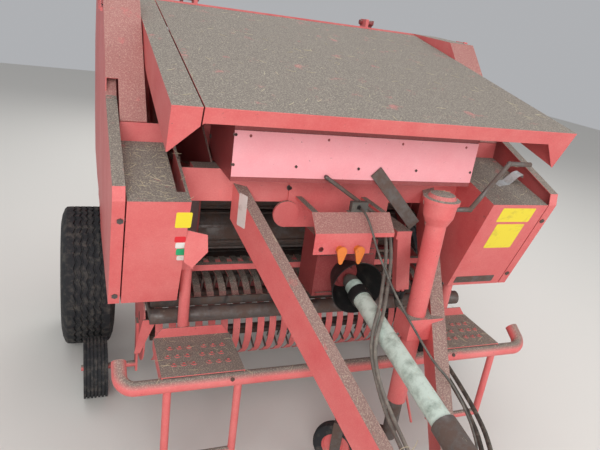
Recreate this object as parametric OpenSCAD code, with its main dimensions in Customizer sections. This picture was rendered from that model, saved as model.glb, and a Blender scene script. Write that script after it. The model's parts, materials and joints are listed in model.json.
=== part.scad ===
// Round baler with a fixed roller chamber, parked on its jockey wheel.
// X runs across the machine, +Y to the rear, +Z up, the ground is at z = 0.

/* [Chamber] */
// Clear width between the side walls of the bale chamber
chamber_w = 1200; // [1160:10:1240]
// Place of the chamber's centre along the machine
chamber_y = 950; // [945:5:955]
// Radius of the circle on which the chamber rollers sit
ring_r = 700; // [696:1:704]
// Diameter of a chamber roller over its ribs
roller_d = 228; // [200:2:234]
// Height of a roller's ribs
roller_rib = 9; // [5:1:14]
// Ribs around one roller
roller_ribs = 8; // [6:1:12]
// Thickness of the chamber's side walls
wall_t = 8; // [6:1:12]
// Thickness of folded sheet metal
sheet_t = 4; // [3:0.5:6]

/* [Side shields] */
// Half the width over the side shields
body_half = 1046; // [1040:2:1060]
// Depth of a side door's folded edges
door_t = 46; // [40:2:50]
// Depth of the folded lip along a shield's edge
shield_lip = 40; // [36:1:44]
// Width of the shields' tops beside the roof
shield_w = 164; // [160:2:170]
// Height of the deck over the chamber's rollers
deck_gap = 56; // [50:1:62]
// Lowest edge of the doors and front guards
skirt_z = 828; // [820:2:840]
// Gap left around a door or flap
panel_gap = 6; // [5:1:9]

/* [Front guards] */
// Place of the guards' top front edge
guard_y = -470; // [-490:5:-450]
// Height of the guards' top front edge
guard_z = 1350; // [1330:5:1370]
// How far a guard's front face leans back at its foot
guard_lean = 188; // [180:2:196]
// Place of the riser behind the guards
riser_y = 0; // [-6:1:6]
// Height where a guard's top meets the riser
riser_z = 1462; // [1450:2:1470]

/* [Lid] */
// Front edge of the roof
lid_y = -620; // [-640:5:-600]
// Depth of the lip along the front edge
lip_h = 66; // [56:2:74]
// Depth of the lip at its corners
gusset_h = 195; // [180:5:205]
// Angle by which the lip leans back
lip_lean = 25; // [20:1:30]
// Drop from the deck to the roof's front edge
roof_drop = 315; // [305:1:325]

/* [Wheels] */
// Tyre diameter
tyre_d = 830; // [820:5:840]
// Tyre width
tyre_w = 290; // [270:5:300]
// Rim diameter at the bead
rim_d = 390; // [380:5:420]
// Distance between the tyres' middles
track_w = 2220; // [2210:5:2260]
// Place of the axle
axle_y = 850; // [845:5:855]
// Stub axle diameter
stub_d = 60; // [50:2:70]
// Diameter of the wheel's hub
hub_d = 150; // [130:5:170]
// Pitch circle of the wheel bolts
wheel_pcd = 205; // [190:5:230]
// Width of the pickup's gauge wheels
gauge_w = 118; // [100:2:130]
// Diameter of the pickup's gauge wheels
gauge_d = 320; // [300:5:324]

/* [Drawbar] */
// Height of a drawbar beam
beam_h = 140; // [130:5:150]
// Width of a drawbar beam
beam_w = 60; // [50:2:70]
// Half the spread of the beams at their rear ends
beam_back_x = 511; // [500:1:520]
// Rear end of the beams
beam_back_y = -120; // [-125:1:-110]
// Height of the beams' rear ends
beam_back_z = 1280; // [1270:5:1290]
// Front end of the beams
beam_front_y = -1360; // [-1370:5:-1340]
// Half the spread of the beams at their front ends
beam_front_x = 46; // [42:1:52]
// Height of the beams' front ends
beam_front_z = 400; // [390:5:420]
// Diameter of the hole in the hitch eye
eye_bore = 50; // [40:1:56]
// Outer diameter of the hitch eye
eye_d = 120; // [110:5:130]
// Thickness of the hitch eye
eye_t = 36; // [30:2:45]
// Centre of the hitch eye
eye_y = -1750; // [-1760:5:-1740]

/* [Jack] */
// Jack tube diameter
jack_d = 84; // [80:1:90]
// Jack leg diameter
leg_d = 64; // [56:1:66]
// Running gap around the leg
leg_gap = 0.05; // [0.02:0.01:0.1]
// Place of the jack across the machine
jack_x = 195; // [190:1:198]
// Place of the jack along the machine
jack_y = -690; // [-700:2:-680]
// Lower end of the jack tube
jack_low = 480; // [460:5:500]
// Upper end of the jack tube
jack_top = 1345; // [1330:5:1360]
// Diameter of the jack's head
jack_head_d = 148; // [140:2:156]
// Jockey wheel diameter
jockey_d = 240; // [230:5:250]
// Jockey wheel width
jockey_w = 62; // [50:2:70]

/* [Pickup] */
// Place of the tine reel's shaft
reel_y = 200; // [195:5:205]
// Height of the tine reel's shaft
reel_z = 480; // [475:5:490]
// Radius of the stripper bands
strip_r = 235; // [225:5:240]
// Radius at the tips of the tines
tine_r = 264; // [256:2:270]
// Distance between tines
tine_pitch = 66; // [64:1:70]
// Width of a stripper band
strip_w = 36; // [30:1:40]
// Tine bars around the reel
tine_bars = 4; // [3:1:5]
// Outer side of the pickup's side plates, from the middle
pickup_half = 864; // [850:2:872]
// Diameter of the crop guard's tube
guard_tube_d = 74; // [66:2:80]
// Place of the pivot on which the pickup lifts
lift_y = 480; // [475:5:490]
// Height of the pivot on which the pickup lifts
lift_z = 720; // [715:5:730]

/* [Front hoop] */
// Diameter of the hoop's tube
hoop_d = 60; // [50:2:64]
// Place of the hoop's front run
hoop_y = -550; // [-560:5:-540]
// Height of the hoop's front run
hoop_z = 585; // [580:5:595]
// Outer end of the hoop's straight run, from the middle
hoop_half = 950; // [940:5:960]
// Height of the step treads
step_z = 624; // [620:1:630]
// Inner edge of a step tread, from the middle
step_in = 500; // [490:5:510]
// Outer edge of a step tread, from the middle
step_out = 850; // [840:5:856]
// Depth of a step tread
step_l = 300; // [290:2:306]
// Angle by which the hoop's ends bend up
hoop_tilt = 32; // [28:1:38]
// Height of the step rungs
rung_z = 200; // [180:5:240]

/* [Shaft] */
// Diameter of the drive shaft's guard tube
pto_d = 80; // [74:2:90]
// Height of the drive shaft at the gearbox
pto_z = 960; // [950:5:970]
// Front end of the drive shaft
pto_front_y = -1400; // [-1420:5:-1380]
// Diameter of the cover over the shaft's front joint
cover_d = 96; // [90:2:100]
// Length of the cover over the shaft's front joint
cover_l = 170; // [160:5:180]
// Diameter of the spline bore at the shaft's front end
spline_d = 35; // [30:1:45]
// Height of the drive shaft's front end
pto_front_z = 792; // [780:2:800]

/* [Tailgate] */
// Height of the tailgate's hinge over the deck
gate_rise = 26; // [20:1:34]
// Gap between the tailgate and the front body
gate_gap = 12; // [10:1:16]
// Diameter of the tailgate cylinders
cyl_d = 76; // [70:2:84]
// Diameter of the cylinder rods
rod_d = 40; // [36:1:44]

/* [Hoses] */
// Diameter of the black hydraulic hoses
black_d = 20; // [18:1:20]
// Diameter of the grey hydraulic hoses
grey_d = 16; // [14:1:16]
// Diameter of the lamp cable
cable_d = 10; // [8:1:10]

/* [Hidden] */

red = "#b8403a";
dark_red = "#7d1f22";
grey = "#6d6a68";
dark = "#2e2c2b";
rubber = "#262626";

// Clearance where a piece rests in or on another one
seat = 0.3;
// Running clearance around a pin or shaft
run_gap = 0.05;
roller_step = 360 / 18;
wall_in = chamber_w / 2;
wall_out = wall_in + wall_t;
roller_r = roller_d / 2;
shell_in = ring_r + roller_r + 8;
shell_out = shell_in + sheet_t;
wall_r = shell_out + 16;
wheel_z = tyre_d / 2;
arch_r = wheel_z + 75;
beam_low = 245;
beam_top = 345;
chamber_z = beam_top + 21 + roller_r + ring_r;
deck_z = chamber_z + ring_r + roller_r + deck_gap;
split_y = chamber_y + 5;
gate_front = split_y + gate_gap;
gate_y = split_y + 7;
gate_z = deck_z + gate_rise;
tail_y = chamber_y + shell_out + 4;
guard_in = wall_out + 152;
box_in = wall_out + 54;
guard_out = body_half - door_t - panel_gap;
side_y = riser_y - 156;
deck_in = body_half - shield_w;
lid_half = deck_in - panel_gap;
seam_x = lid_half - 108;
slope_y = riser_y + 470;
riser_top = deck_z - 502;
shield_slope = (deck_z - 20 - riser_top) / (slope_y - riser_y);
door_drop = (shield_lip + panel_gap) * norm([1, shield_slope]);
door_rise = 0.37;
door_top = guard_z + 55;
step_front = hoop_y;
gauge_y = axle_y - wheel_z - gauge_d / 2 - 45;
gauge_z = gauge_d / 2 + 3;
gauge_x = 1080;
beam_yaw = atan2(beam_back_x - beam_front_x, beam_back_y - beam_front_y);
beam_run = norm([beam_back_x - beam_front_x, beam_back_y - beam_front_y]);
beam_pitch = atan2(beam_back_z - beam_front_z, beam_run);
beam_len = norm([beam_run, beam_back_z - beam_front_z]);
pto_y = -400;
pto_pitch = atan2(pto_z - pto_front_z, pto_y - pto_front_y);
pto_len = norm([pto_z - pto_front_z, pto_y - pto_front_y]);
rail_l = 55;
rail_h = 60;
lid_z = deck_z - roof_drop;
lid_back = split_y - rail_l - 38;
lid_back_z = deck_z - 10;
lid_slope = atan2(lid_back_z - lid_z, lid_back - lid_y);
jockey_x = 20;
jockey_y = jack_y + 150;
jockey_turn = 50;
cyl_x = wall_out + 132;
cyl_low = [chamber_y - 390, chamber_z - 60];
cyl_eye = [chamber_y + 230, deck_z - 130];
cyl_len = norm(cyl_eye - cyl_low);
cyl_tilt = atan2(cyl_eye[1] - cyl_low[1], cyl_eye[0] - cyl_low[0]);
roof_len = norm([lid_back - lid_y, lid_back_z - lid_z]);
cross_back = beam_back_y + 50;
cross_low = beam_back_z - 28;
cross_top = beam_back_z + 120;
post_d = 50;
post_x = box_in + 53;
post_y = step_front + step_l + post_d / 2 + seat;
lid_pin_d = 16;
lid_pin_y = lid_back + 14;
lid_pin_z = lid_back_z - 10;
hinge_x = body_half + 12;
hinge_z = deck_z - 18;
hinge_d = 10;
hinge_spots = [600, 840];
net_half = wall_in - 13;
net_y = lid_y + 270;
net_z = lid_z - 335;
net_h = 230;
pin_d = 30;
tube_d = 42;
tube_z = reel_z + strip_r - 5 - seat - tube_d / 2;
tube_y = reel_y + sqrt(pow(tine_r + panel_gap + tube_d / 2, 2) - pow(tube_z - reel_z, 2));
arm_y = reel_y - 60;
arm_z = reel_z + 180;
guard_tube_y = -140;
guard_tube_z = 670;
valve_y = -474;
inner_shaft_d = 50;
port_z = 1142;
channel_y = -334;
holder_y = -1480;
holder_t = 12;
coupler_l = 68;
coupler_y = holder_y + holder_t + coupler_l;
socket_y = valve_y + 74;
front_rollers = [for (i = [5, 6, 7, 8, 9, 10, 12, 13]) i * roller_step];
rear_rollers = [for (i = [14, 15, 16, 17, 0, 1, 2, 3, 4]) i * roller_step];

// Routes of the hoses and the lamp cable, from where they leave the machine to their couplers
black_a = [[312, -354, 855], [312, -354, 820], [317, -363, 783], [338, -395, 745], [358, -455, 716],
           [372, -555, 690], [380, -670, 660], [383, -840, 612], [364, -1005, 574], [334, -1100, 555],
           [285, -1188, 546], [225, -1254, 547], [166, -1310, 558], [150, -1360, 565],
           [150, -1400, 565]];
black_b = [[336, -354, 855], [336, -354, 820], [341, -363, 785], [362, -395, 751], [382, -455, 726],
           [396, -555, 702], [404, -670, 674], [407, -840, 628], [390, -1005, 591], [362, -1105, 573],
           [315, -1195, 564], [258, -1262, 564], [206, -1312, 566], [190, -1360, 565],
           [190, -1400, 565]];
grey_a = [[190, -200, 1200], [190, -245, 1200], [186, -305, 1187], [168, -375, 1156],
          [138, -455, 1108], [98, -535, 1055], [52, -615, 1004], [6, -692, 968], [-34, -748, 948],
          [-62, -788, 895], [-64, -815, 825], [-48, -858, 735], [-32, -950, 640], [-36, -1090, 596],
          [-62, -1230, 592], [-85, -1350, 570], [-85, -1400, 570]];
grey_b = [[212, -200, 1200], [212, -245, 1200], [208, -307, 1186], [190, -380, 1155],
          [159, -465, 1106], [116, -550, 1051], [66, -635, 998], [12, -720, 962], [-32, -780, 942],
          [-62, -822, 889], [-62, -850, 819], [-44, -893, 730], [-20, -985, 644], [-20, -1110, 600],
          [-42, -1240, 578], [-45, -1350, 570], [-45, -1400, 570]];
cable_route = [[-10, -400, 1308], [-10, -440, 1308], [-5, -479, 1290], [8, -515, 1245],
               [28, -562, 1168], [58, -620, 1085], [82, -675, 1020], [105, -735, 965],
               [125, -795, 920], [148, -860, 870], [172, -920, 828], [205, -965, 792],
               [240, -1000, 742], [264, -1045, 688], [264, -1110, 645], [236, -1185, 616],
               [178, -1252, 600], [126, -1308, 582], [110, -1360, 570], [110, -1400, 570]];
// Each coupler's place across the machine, its height and its diameter
couplers = [[190, 565, 32], [150, 565, 32], [-45, 570, 28], [-85, 570, 28], [110, 570, 22]];

// An outline drawn in Y and Z, extruded along +X from x0
module along_x(x0, length) {
    translate([x0, 0, 0])
        rotate([90, 0, 90])
            linear_extrude(length)
                children();
}

// A round bar along +X from x0 to x1
module bar_x(d, x0, x1, y, z) {
    translate([x0, y, z])
        rotate([0, 90, 0])
            cylinder(d = d, h = x1 - x0, $fn = 48);
}

// Draws its children on both sides of the machine
module both_sides() {
    for (m = [0, 1])
        mirror([m, 0, 0])
            children();
}

// A straight round bar between two points
module rod(a, b, d) {
    v = b - a;
    translate(a)
        rotate([0, acos(v[2] / norm(v)), atan2(v[1], v[0])])
            cylinder(d = d, h = norm(v), $fn = 32);
}

// The points of a line moved sideways by t, with mitred corners
function beside(p, t) = [
    for (i = [0 : len(p) - 1])
        let (a = i == 0 ? p[1] - p[0] : p[i] - p[i - 1],
             b = i == len(p) - 1 ? p[i] - p[i - 1] : p[i + 1] - p[i],
             m = [-a[1], a[0]] / norm(a) + [-b[1], b[0]] / norm(b))
        p[i] + m * 2 * t / (m * m)];

// A strip of sheet on the right-hand side of a line of points in Y and Z
module folded(points, t) {
    inner = beside(points, -t);
    polygon(concat(points, [for (i = [len(inner) - 1 : -1 : 0]) inner[i]]));
}

// The direction of a line of points at its point i
function heading(p, i) =
    let (v = p[min(i + 1, len(p) - 1)] - p[max(i - 1, 0)])
        v / norm(v);

// The points of a ring of the radius r around a route's point i
function ring_at(p, i, r, sides) =
    let (t = heading(p, i),
         u = cross(t, [1, 0, 0]) / norm(cross(t, [1, 0, 0])),
         v = cross(t, u))
        [for (k = [0 : sides - 1])
            p[i] + r * (cos(360 * k / sides) * u + sin(360 * k / sides) * v)];

// A flexible tube swept along a route
module hose(route, d, sides = 8) {
    last = len(route) - 1;
    points = [for (i = [0 : last]) each ring_at(route, i, d / 2, sides)];
    walls = [for (i = [0 : last - 1], k = [0 : sides - 1])
             let (a = i * sides + k, b = i * sides + (k + 1) % sides)
                 each [[a, a + sides, b + sides], [a, b + sides, b]]];
    first_cap = [for (k = [0 : sides - 1]) k];
    last_cap = [for (k = [sides - 1 : -1 : 0]) last * sides + k];
    polyhedron(points, concat(walls, [first_cap, last_cap]));
}

module roller_profile() {
    circle(r = roller_r - roller_rib, $fn = 64);
    for (i = [0 : roller_ribs - 1])
        rotate(i * 360 / roller_ribs)
            translate([0, -8])
                square([roller_r, 16]);
}

module roller_at(angle, length) {
    y = chamber_y + ring_r * cos(angle);
    z = chamber_z + ring_r * sin(angle);
    along_x(-length / 2, length)
        translate([y, z])
            rotate(angle)
                roller_profile();
}

// Outline of the side wall ahead of the split
module wall_outline() {
    difference() {
        union() {
            intersection() {
                translate([chamber_y, chamber_z])
                    circle(r = wall_r, $fn = 180);
                translate([split_y - 1000, 0])
                    square([1000, 3000]);
            }
            polygon([[cross_back, cross_low], [cross_back, cross_top], [300, cross_top + 160],
                     [300, cross_low - 200]]);
            polygon([[axle_y - 120, beam_top], [axle_y - 200, chamber_z - 420],
                     [split_y, chamber_z - 420], [split_y, beam_top]]);
        }
        translate([reel_y, reel_z])
            circle(r = tine_r + tube_d + 4 * panel_gap, $fn = 96);
        translate([split_y - rail_l - 10, deck_z - rail_h])
            square([rail_l + 20, 200]);
        translate([axle_y - 130, 0])
            square([400, beam_top]);
    }
}

module side_walls() {
    color(dark_red)
        both_sides()
            along_x(wall_in, wall_t)
                wall_outline();
}

// Arc of sheet around the chamber between two angles
module arc_sheet(from, to) {
    steps = ceil((to - from) / 6);
    outer = [for (i = [0 : steps]) let (a = from + (to - from) * i / steps)
             [chamber_y + shell_out * cos(a), chamber_z + shell_out * sin(a)]];
    inner = [for (i = [steps : -1 : 0]) let (a = from + (to - from) * i / steps)
             [chamber_y + shell_in * cos(a), chamber_z + shell_in * sin(a)]];
    polygon(concat(outer, inner));
}

module front_shell() {
    color(red)
        along_x(-wall_in, chamber_w)
            arc_sheet(95, 168);
}

module rollers_front() {
    color(dark)
        for (a = front_rollers)
            roller_at(a, chamber_w);
}

module chassis_frame() {
    stub_x = wall_in + 250;
    color(dark_red) {
        translate([-stub_x, axle_y - 60, beam_low])
            cube([2 * stub_x, 120, beam_top - beam_low]);
        both_sides() {
            along_x(wall_out, 50)
                polygon([[axle_y - 60, beam_top], [axle_y - 100, chamber_z], [split_y, chamber_z],
                         [split_y, beam_top]]);
            along_x(wall_out, 50)
                polygon([[cross_back, cross_low], [cross_back, cross_low + 120],
                         [axle_y - 60, chamber_z], [axle_y - 60, chamber_z - 120]]);
            bar_x(40, wall_out, pickup_half + 6, lift_y, lift_z);
            bar_x(pin_d, wall_out + 40, cyl_x + 35, cyl_low[0], cyl_low[1]);
            translate([stub_x, axle_y - 70, beam_low])
                cube([20, 140, wheel_z + 70 - beam_low]);
            bar_x(stub_d, stub_x + 20, track_w / 2 + 40, axle_y, wheel_z);
        }
    }
}

module cross_member() {
    front = beam_back_y - 60;
    color(red) {
        translate([-wall_out - 92, beam_back_y - 50, cross_low])
            cube([wall_out + 92 + box_in, 100, cross_top - cross_low]);
        translate([-guard_in, beam_back_y - 50, cross_low])
            cube([guard_in - wall_out - 92, 10, cross_top - cross_low]);
        translate([-260, front, 1130])
            cube([530, 10, 270]);
        translate([-266, front, 1198])
            rotate([90, 0, 0])
                cylinder(d = 126, h = 14, $fn = 64);
        for (p = [grey_a[0], grey_b[0]])
            translate([p[0], front, p[2]])
                rotate([90, 0, 0])
                    cylinder(d = grey_d + 4, h = front - p[1], $fn = 32);
        translate([230, channel_y - 40, 1140])
            cube([80, beam_back_y - 50 - channel_y + 40, 40]);
        translate([-guard_in, beam_back_y + 35, 870])
            cube([guard_in + box_in, 30, 30]);
        hose_channel();
    }
}

// The channel beside the gearbox from which the black hoses leave
module hose_channel() {
    difference() {
        translate([0, channel_y, 0])
            rotate([90, 0, 0])
                linear_extrude(40)
                    polygon([[238, 1145], [310, 1145], [360, 870], [287, 870]]);
        translate([0, channel_y + 1, 0])
            rotate([90, 0, 0])
                linear_extrude(36)
                    polygon([[245, 1134], [303, 1134], [350, 880], [294, 880]]);
    }
    for (p = [black_a[0], black_b[0]])
        translate([p[0], p[1], p[2]])
            cylinder(d = black_d + 2, h = 872 - p[2], $fn = 32);
}

module beam() {
    translate([beam_front_x, beam_front_y, beam_front_z])
        rotate([0, 0, -beam_yaw])
            rotate([beam_pitch, 0, 0])
                translate([-beam_w / 2, 0, -beam_h / 2])
                    cube([beam_w, beam_len, beam_h]);
}

module drawbar() {
    jack_beam_x = beam_front_x + (jack_y - beam_front_y) * tan(beam_yaw);
    color(red)
        difference() {
            union() {
                both_sides()
                    difference() {
                        beam();
                        translate([-beam_back_x, beam_back_y - 50, 900])
                            cube([3 * beam_back_x, 400, 800]);
                        translate([-200, beam_front_y - 400, 0])
                            cube([200, 900, 900]);
                    }
                translate([-70, beam_front_y - 140, beam_front_z - 60])
                    cube([140, 260, 100]);
                translate([-30, beam_front_y + 60, beam_front_z + 30])
                    cube([60, 12, 330]);
                translate([jack_x - 60, jack_y - 60, 830])
                    cube([jack_beam_x - jack_x + 60, 120, 100]);
                hose_holder();
            }
            translate([jack_x, jack_y, 800])
                cylinder(d = jack_d + 2 * seat, h = 200, $fn = 48);
            on_shaft()
                translate([0, 0, pto_len - cover_l - 20])
                    cylinder(d = cover_d + 2 * seat, h = cover_l + 40, $fn = 48);
        }
}

// The upright plate on the drawbar's front end that the hose couplers hang in
module hose_holder() {
    translate([-40, holder_y, beam_front_z + 30])
        cube([80, holder_t, 115]);
    translate([-115, holder_y, beam_front_z + 140])
        cube([330, holder_t, 62]);
}

module hitch_eye() {
    color(dark)
        difference() {
            union() {
                translate([0, eye_y, beam_front_z - 28])
                    cylinder(d = eye_d, h = eye_t, $fn = 64);
                translate([-35, eye_y + eye_d / 2 - 15, beam_front_z - 28])
                    cube([70, beam_front_y - 140 - eye_y - eye_d / 2 + 15, eye_t]);
            }
            translate([0, eye_y, beam_front_z - 60])
                cylinder(d = eye_bore, h = 120, $fn = 64);
        }
}

module front_panel() {
    color("#d9716b")
        difference() {
            translate([-net_half, net_y - sheet_t, net_z + 20])
                cube([2 * net_half, sheet_t, 190]);
            for (x = [-520, -180, 180, 520])
                translate([x, net_y + 10, net_z + 190])
                    rotate([90, 0, 0])
                        cylinder(d = 12, h = 40, $fn = 24);
        }
}

module net_box() {
    color(dark_red)
        difference() {
            translate([-net_half, net_y, net_z])
                cube([2 * net_half, 430, net_h]);
            translate([-net_half + sheet_t, net_y + sheet_t, net_z + sheet_t])
                cube([2 * (net_half - sheet_t), 430 - 2 * sheet_t, net_h + 200]);
        }
}

// Places a sheet on the roof's slope, with its rear edge at the hinge
module on_roof() {
    translate([0, lid_back, lid_back_z])
        rotate([lid_slope, 0, 0])
            children();
}

module roof_strip() {
    color(red) {
        on_roof()
            translate([-lid_half, -roof_len, -sheet_t])
                cube([lid_half - seam_x - 3, roof_len, sheet_t]);
        along_x(-lid_half, sheet_t)
            roof_side();
        roof_lip(-lid_half, -seam_x - 3);
        for (p = [[310, deck_z - 238], [780, deck_z - 88]])
            translate([-lid_half - panel_gap, p[0], p[1]])
                cube([panel_gap, 36, 26]);
    }
}

// Side of the roof, with the gusset at its front corner
module roof_side() {
    down = [sin(lip_lean), -cos(lip_lean)];
    back = [cos(lip_lean), sin(lip_lean)];
    inset = sheet_t / 2;
    corner = [lid_y, lid_z] + inset * back;
    polygon([corner + inset * down, corner + (gusset_h - inset) * down, [90, lid_z - 20],
             [lid_back, lid_back_z - 60], [lid_back, lid_back_z - inset]]);
}

// The roof's front lip with its corners drawn down, leaning back, from x0 to x1
module roof_lip(x0, x1) {
    foot_w = sheet_t + 2;
    translate([0, lid_y, lid_z])
        rotate([90 + lip_lean, 0, 0])
            translate([0, 0, -sheet_t])
                linear_extrude(sheet_t)
                    intersection() {
                        polygon([[-lid_half, 0], [lid_half, 0], [lid_half, -gusset_h],
                                 [lid_half - foot_w, -gusset_h], [lid_half - 116, -lip_h],
                                 [116 - lid_half, -lip_h], [foot_w - lid_half, -gusset_h],
                                 [-lid_half, -gusset_h]]);
                        translate([x0, -gusset_h])
                            square([x1 - x0, gusset_h]);
                    }
}

module lid() {
    color(red)
        difference() {
            union() {
                on_roof()
                    translate([-seam_x + 3, -roof_len, -sheet_t])
                        cube([lid_half + seam_x - 3, roof_len, sheet_t]);
                along_x(lid_half - sheet_t, sheet_t)
                    roof_side();
                roof_lip(-seam_x + 3, lid_half);
                for (x = [-500, 0, 500], s = [-1, 1]) {
                    bar_x(22, x + s * 40 - 15, x + s * 40 + 15, lid_pin_y, lid_pin_z);
                    translate([x + s * 40 - 15, lid_back - 8, lid_back_z - 16])
                        cube([30, 22, 14]);
                }
            }
            bar_x(lid_pin_d + 2 * run_gap, -600, 600, lid_pin_y, lid_pin_z);
        }
}

guard_line = [[guard_y + guard_lean, skirt_z], [guard_y, guard_z], [riser_y, riser_z],
              [riser_y, riser_top - sheet_t]];

module guard_left() {
    color(red) {
        difference() {
            along_x(-guard_out, guard_out - guard_in)
                folded(guard_line, sheet_t);
            translate([-guard_in - 46, guard_y + 70, guard_z - 10])
                cube([34, 360, 120]);
        }
        along_x(-guard_out, sheet_t)
            guard_side(side_y);
        along_x(-guard_in - sheet_t, sheet_t)
            guard_side(riser_y);
        translate([-guard_in, post_y - 25, 960])
            cube([guard_in - post_x + 25, 50, 90]);
        translate([0, guard_y + 76, 0])
            rotate([90, 0, 0])
                linear_extrude(6)
                    polygon([[-guard_in - 2, 1208], [88 - guard_in, 1185], [94 - guard_in, 1110],
                             [33 - guard_in, 1040], [-guard_in - 2, 1067]]);
    }
}

// Side sheet of a front guard, back to y_end
module guard_side(y_end) {
    rise = (riser_z - guard_z) / (riser_y - guard_y);
    polygon([guard_line[0], guard_line[1], [y_end, guard_z + rise * (y_end - guard_y) - 2],
             [y_end, skirt_z]]);
}

module twine_box() {
    outline = [guard_line[0], guard_line[1], [riser_y, riser_z], [riser_y, riser_top - sheet_t],
               [riser_y + sheet_t, riser_top - sheet_t], [riser_y + sheet_t, skirt_z]];
    color(red)
        difference() {
            along_x(box_in, guard_out - box_in)
                polygon(outline);
            along_x(box_in + sheet_t, guard_out - box_in)
                polygon([[guard_y + guard_lean + 5, skirt_z + 5], [guard_y + 5, guard_z - 4],
                         [riser_y, riser_z - 5], [riser_y, skirt_z + 5]]);
        }
}

module upper_shields() {
    face = split_y - rail_l - 10 - seat;
    line = [[riser_y, riser_top], [slope_y, deck_z - 20], [face, deck_z]];
    notch_y = riser_y + 150;
    edge = [[notch_y, riser_top + 150 * shield_slope], [slope_y, deck_z - 20], [face, deck_z]];
    under = beside([line[0], line[1]], -shield_lip);
    color(red)
        both_sides() {
            along_x(deck_in, guard_out - deck_in)
                folded(line, sheet_t);
            along_x(guard_out - 1, body_half - guard_out + 1)
                folded(edge, sheet_t);
            along_x(body_half - sheet_t, sheet_t)
                intersection() {
                    polygon([line[0], line[1], line[2], [face, deck_z - rail_h],
                             [slope_y + 20, deck_z - rail_h], under[0]]);
                    translate([notch_y, 0])
                        square([2000, 3000]);
                }
            along_x(deck_in, sheet_t)
                polygon([[riser_y + sheet_t, riser_z], [riser_y + sheet_t, riser_top],
                         [slope_y, deck_z - 24], [face, deck_z - 4], [face, deck_z - 120],
                         [riser_y + 290, riser_z]]);
            for (y = hinge_spots, s = [-1, 1])
                translate([body_half - sheet_t, y + s * 37 - 6, hinge_z - 10])
                    cube([hinge_x - body_half + sheet_t + 9, 12, 20]);
            for (y = hinge_spots)
                translate([hinge_x, y - 43, hinge_z])
                    rotate([-90, 0, 0])
                        cylinder(d = hinge_d, h = 86, $fn = 32);
        }
}

module rear_rail() {
    face = split_y - rail_l - 10;
    color(red) {
        translate([-body_half, face, deck_z - rail_h])
            cube([2 * body_half, rail_l, rail_h]);
        for (x = [-500, 0, 500]) {
            bar_x(lid_pin_d, x - 57, x + 57, lid_pin_y, lid_pin_z);
            translate([x - 20, lid_pin_y - 9, lid_pin_z - 9])
                cube([40, face - lid_pin_y + 10, 18]);
        }
        for (x = [60 - wall_in, wall_in - 60])
            difference() {
                translate([x - 10, gate_y - 60, deck_z - 1])
                    cube([20, 80, gate_z - deck_z + 21]);
                bar_x(pin_d + 2 * run_gap, x - 20, x + 20, gate_y, gate_z);
            }
    }
}

module hoop() {
    color(red) {
        bar_x(hoop_d, -hoop_half - 3, hoop_half + 3, hoop_y, hoop_z);
        both_sides() {
            translate([hoop_half, hoop_y, hoop_z])
                rotate([hoop_tilt, 0, 0])
                    hoop_end();
            rod([post_x, hoop_y, hoop_z], [post_x, post_y, hoop_z], 40);
            for (x = [step_in + 25, step_out - 25])
                rod([x, hoop_y, hoop_z], [x, hoop_y, rung_z], 34);
            bar_x(34, step_in + 25, step_out - 25, hoop_y, rung_z);
        }
        translate([post_x, post_y, hoop_z - 20])
            cylinder(d = post_d, h = skirt_z - hoop_z + 20 - seat, $fn = 48);
        translate([-post_x, post_y, hoop_z - 20])
            cylinder(d = post_d, h = 960 - hoop_z + 20 - seat, $fn = 48);
    }
}

// The bend at an end of the hoop and its open cut end
module hoop_end() {
    translate([0, 60, 0])
        rotate([0, 0, -90])
            rotate_extrude(angle = 90, $fn = 48)
                translate([60, 0])
                    circle(d = hoop_d + 0.4, $fn = 32);
    translate([60, 57, 0])
        rotate([-90, 0, 0])
            difference() {
                cylinder(d = hoop_d, h = 63, $fn = 48);
                translate([0, 0, 20])
                    cylinder(d = hoop_d - 10, h = 50, $fn = 48);
            }
}

module steps() {
    back = step_front + step_l;
    color(red)
        both_sides()
            difference() {
                union() {
                    translate([step_in, step_front, step_z - sheet_t])
                        cube([step_out - step_in, step_l, sheet_t]);
                    for (x = [step_in, step_out - sheet_t])
                        translate([x, step_front, step_z - 60])
                            cube([sheet_t, step_l, 60]);
                    translate([0, back, 0])
                        rotate([90, 0, 0])
                            linear_extrude(sheet_t)
                                polygon([[step_in, step_z - sheet_t], [step_out, step_z - sheet_t],
                                         [step_out - 40, step_z + 46], [step_in + 40, step_z + 46]]);
                    tread_rings(26, 5);
                }
                translate([0, 0, -20])
                    tread_rings(13, 40);
                bar_x(hoop_d + 1, step_in - 20, step_out + 20, hoop_y, hoop_z);
            }
}

// The raised grips of a tread: three rows of two groups of three, the middle row moved over
module tread_rings(d, h) {
    for (row = [0 : 2], group = [0, 1], i = [0 : 2])
        translate([step_in + 55 + group * 150 + i * 42 + (row == 1 ? 18 : 0),
                   step_front + 80 + row * 62, step_z - 1])
            cylinder(d = d, h = h, $fn = 24);
}

module gearbox() {
    front = beam_back_y - 230;
    color(dark_red) {
        translate([-150, front, 850])
            cube([300, 180, 280]);
        translate([0, front + 1, pto_z])
            rotate([90, 0, 0])
                cylinder(d = 90, h = 30, $fn = 48);
        for (z = [862, 1052, 1080, 1108])
            translate([-135, front - 10, z])
                cube([270, 12, 8]);
    }
}

// Places a piece on the drive shaft's line, which runs down to the front
module on_shaft() {
    translate([0, pto_y, pto_z])
        rotate([90 + pto_pitch, 0, 0])
            children();
}

module shaft_cone() {
    color(dark) {
        translate([0, beam_back_y - 230 - seat, pto_z])
            rotate([90, 0, 0])
                difference() {
                    cylinder(d1 = 140, d2 = 250, h = 150, $fn = 64);
                    translate([0, 0, -0.01])
                        cylinder(d1 = 134, d2 = 244, h = 150.02, $fn = 64);
                }
        on_shaft()
            translate([0, 0, 108])
                difference() {
                    cylinder(d = 96, h = 50, $fn = 48);
                    translate([0, 0, -1])
                        cylinder(d = pto_d + 2 * seat, h = 60, $fn = 48);
                }
    }
}

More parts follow.
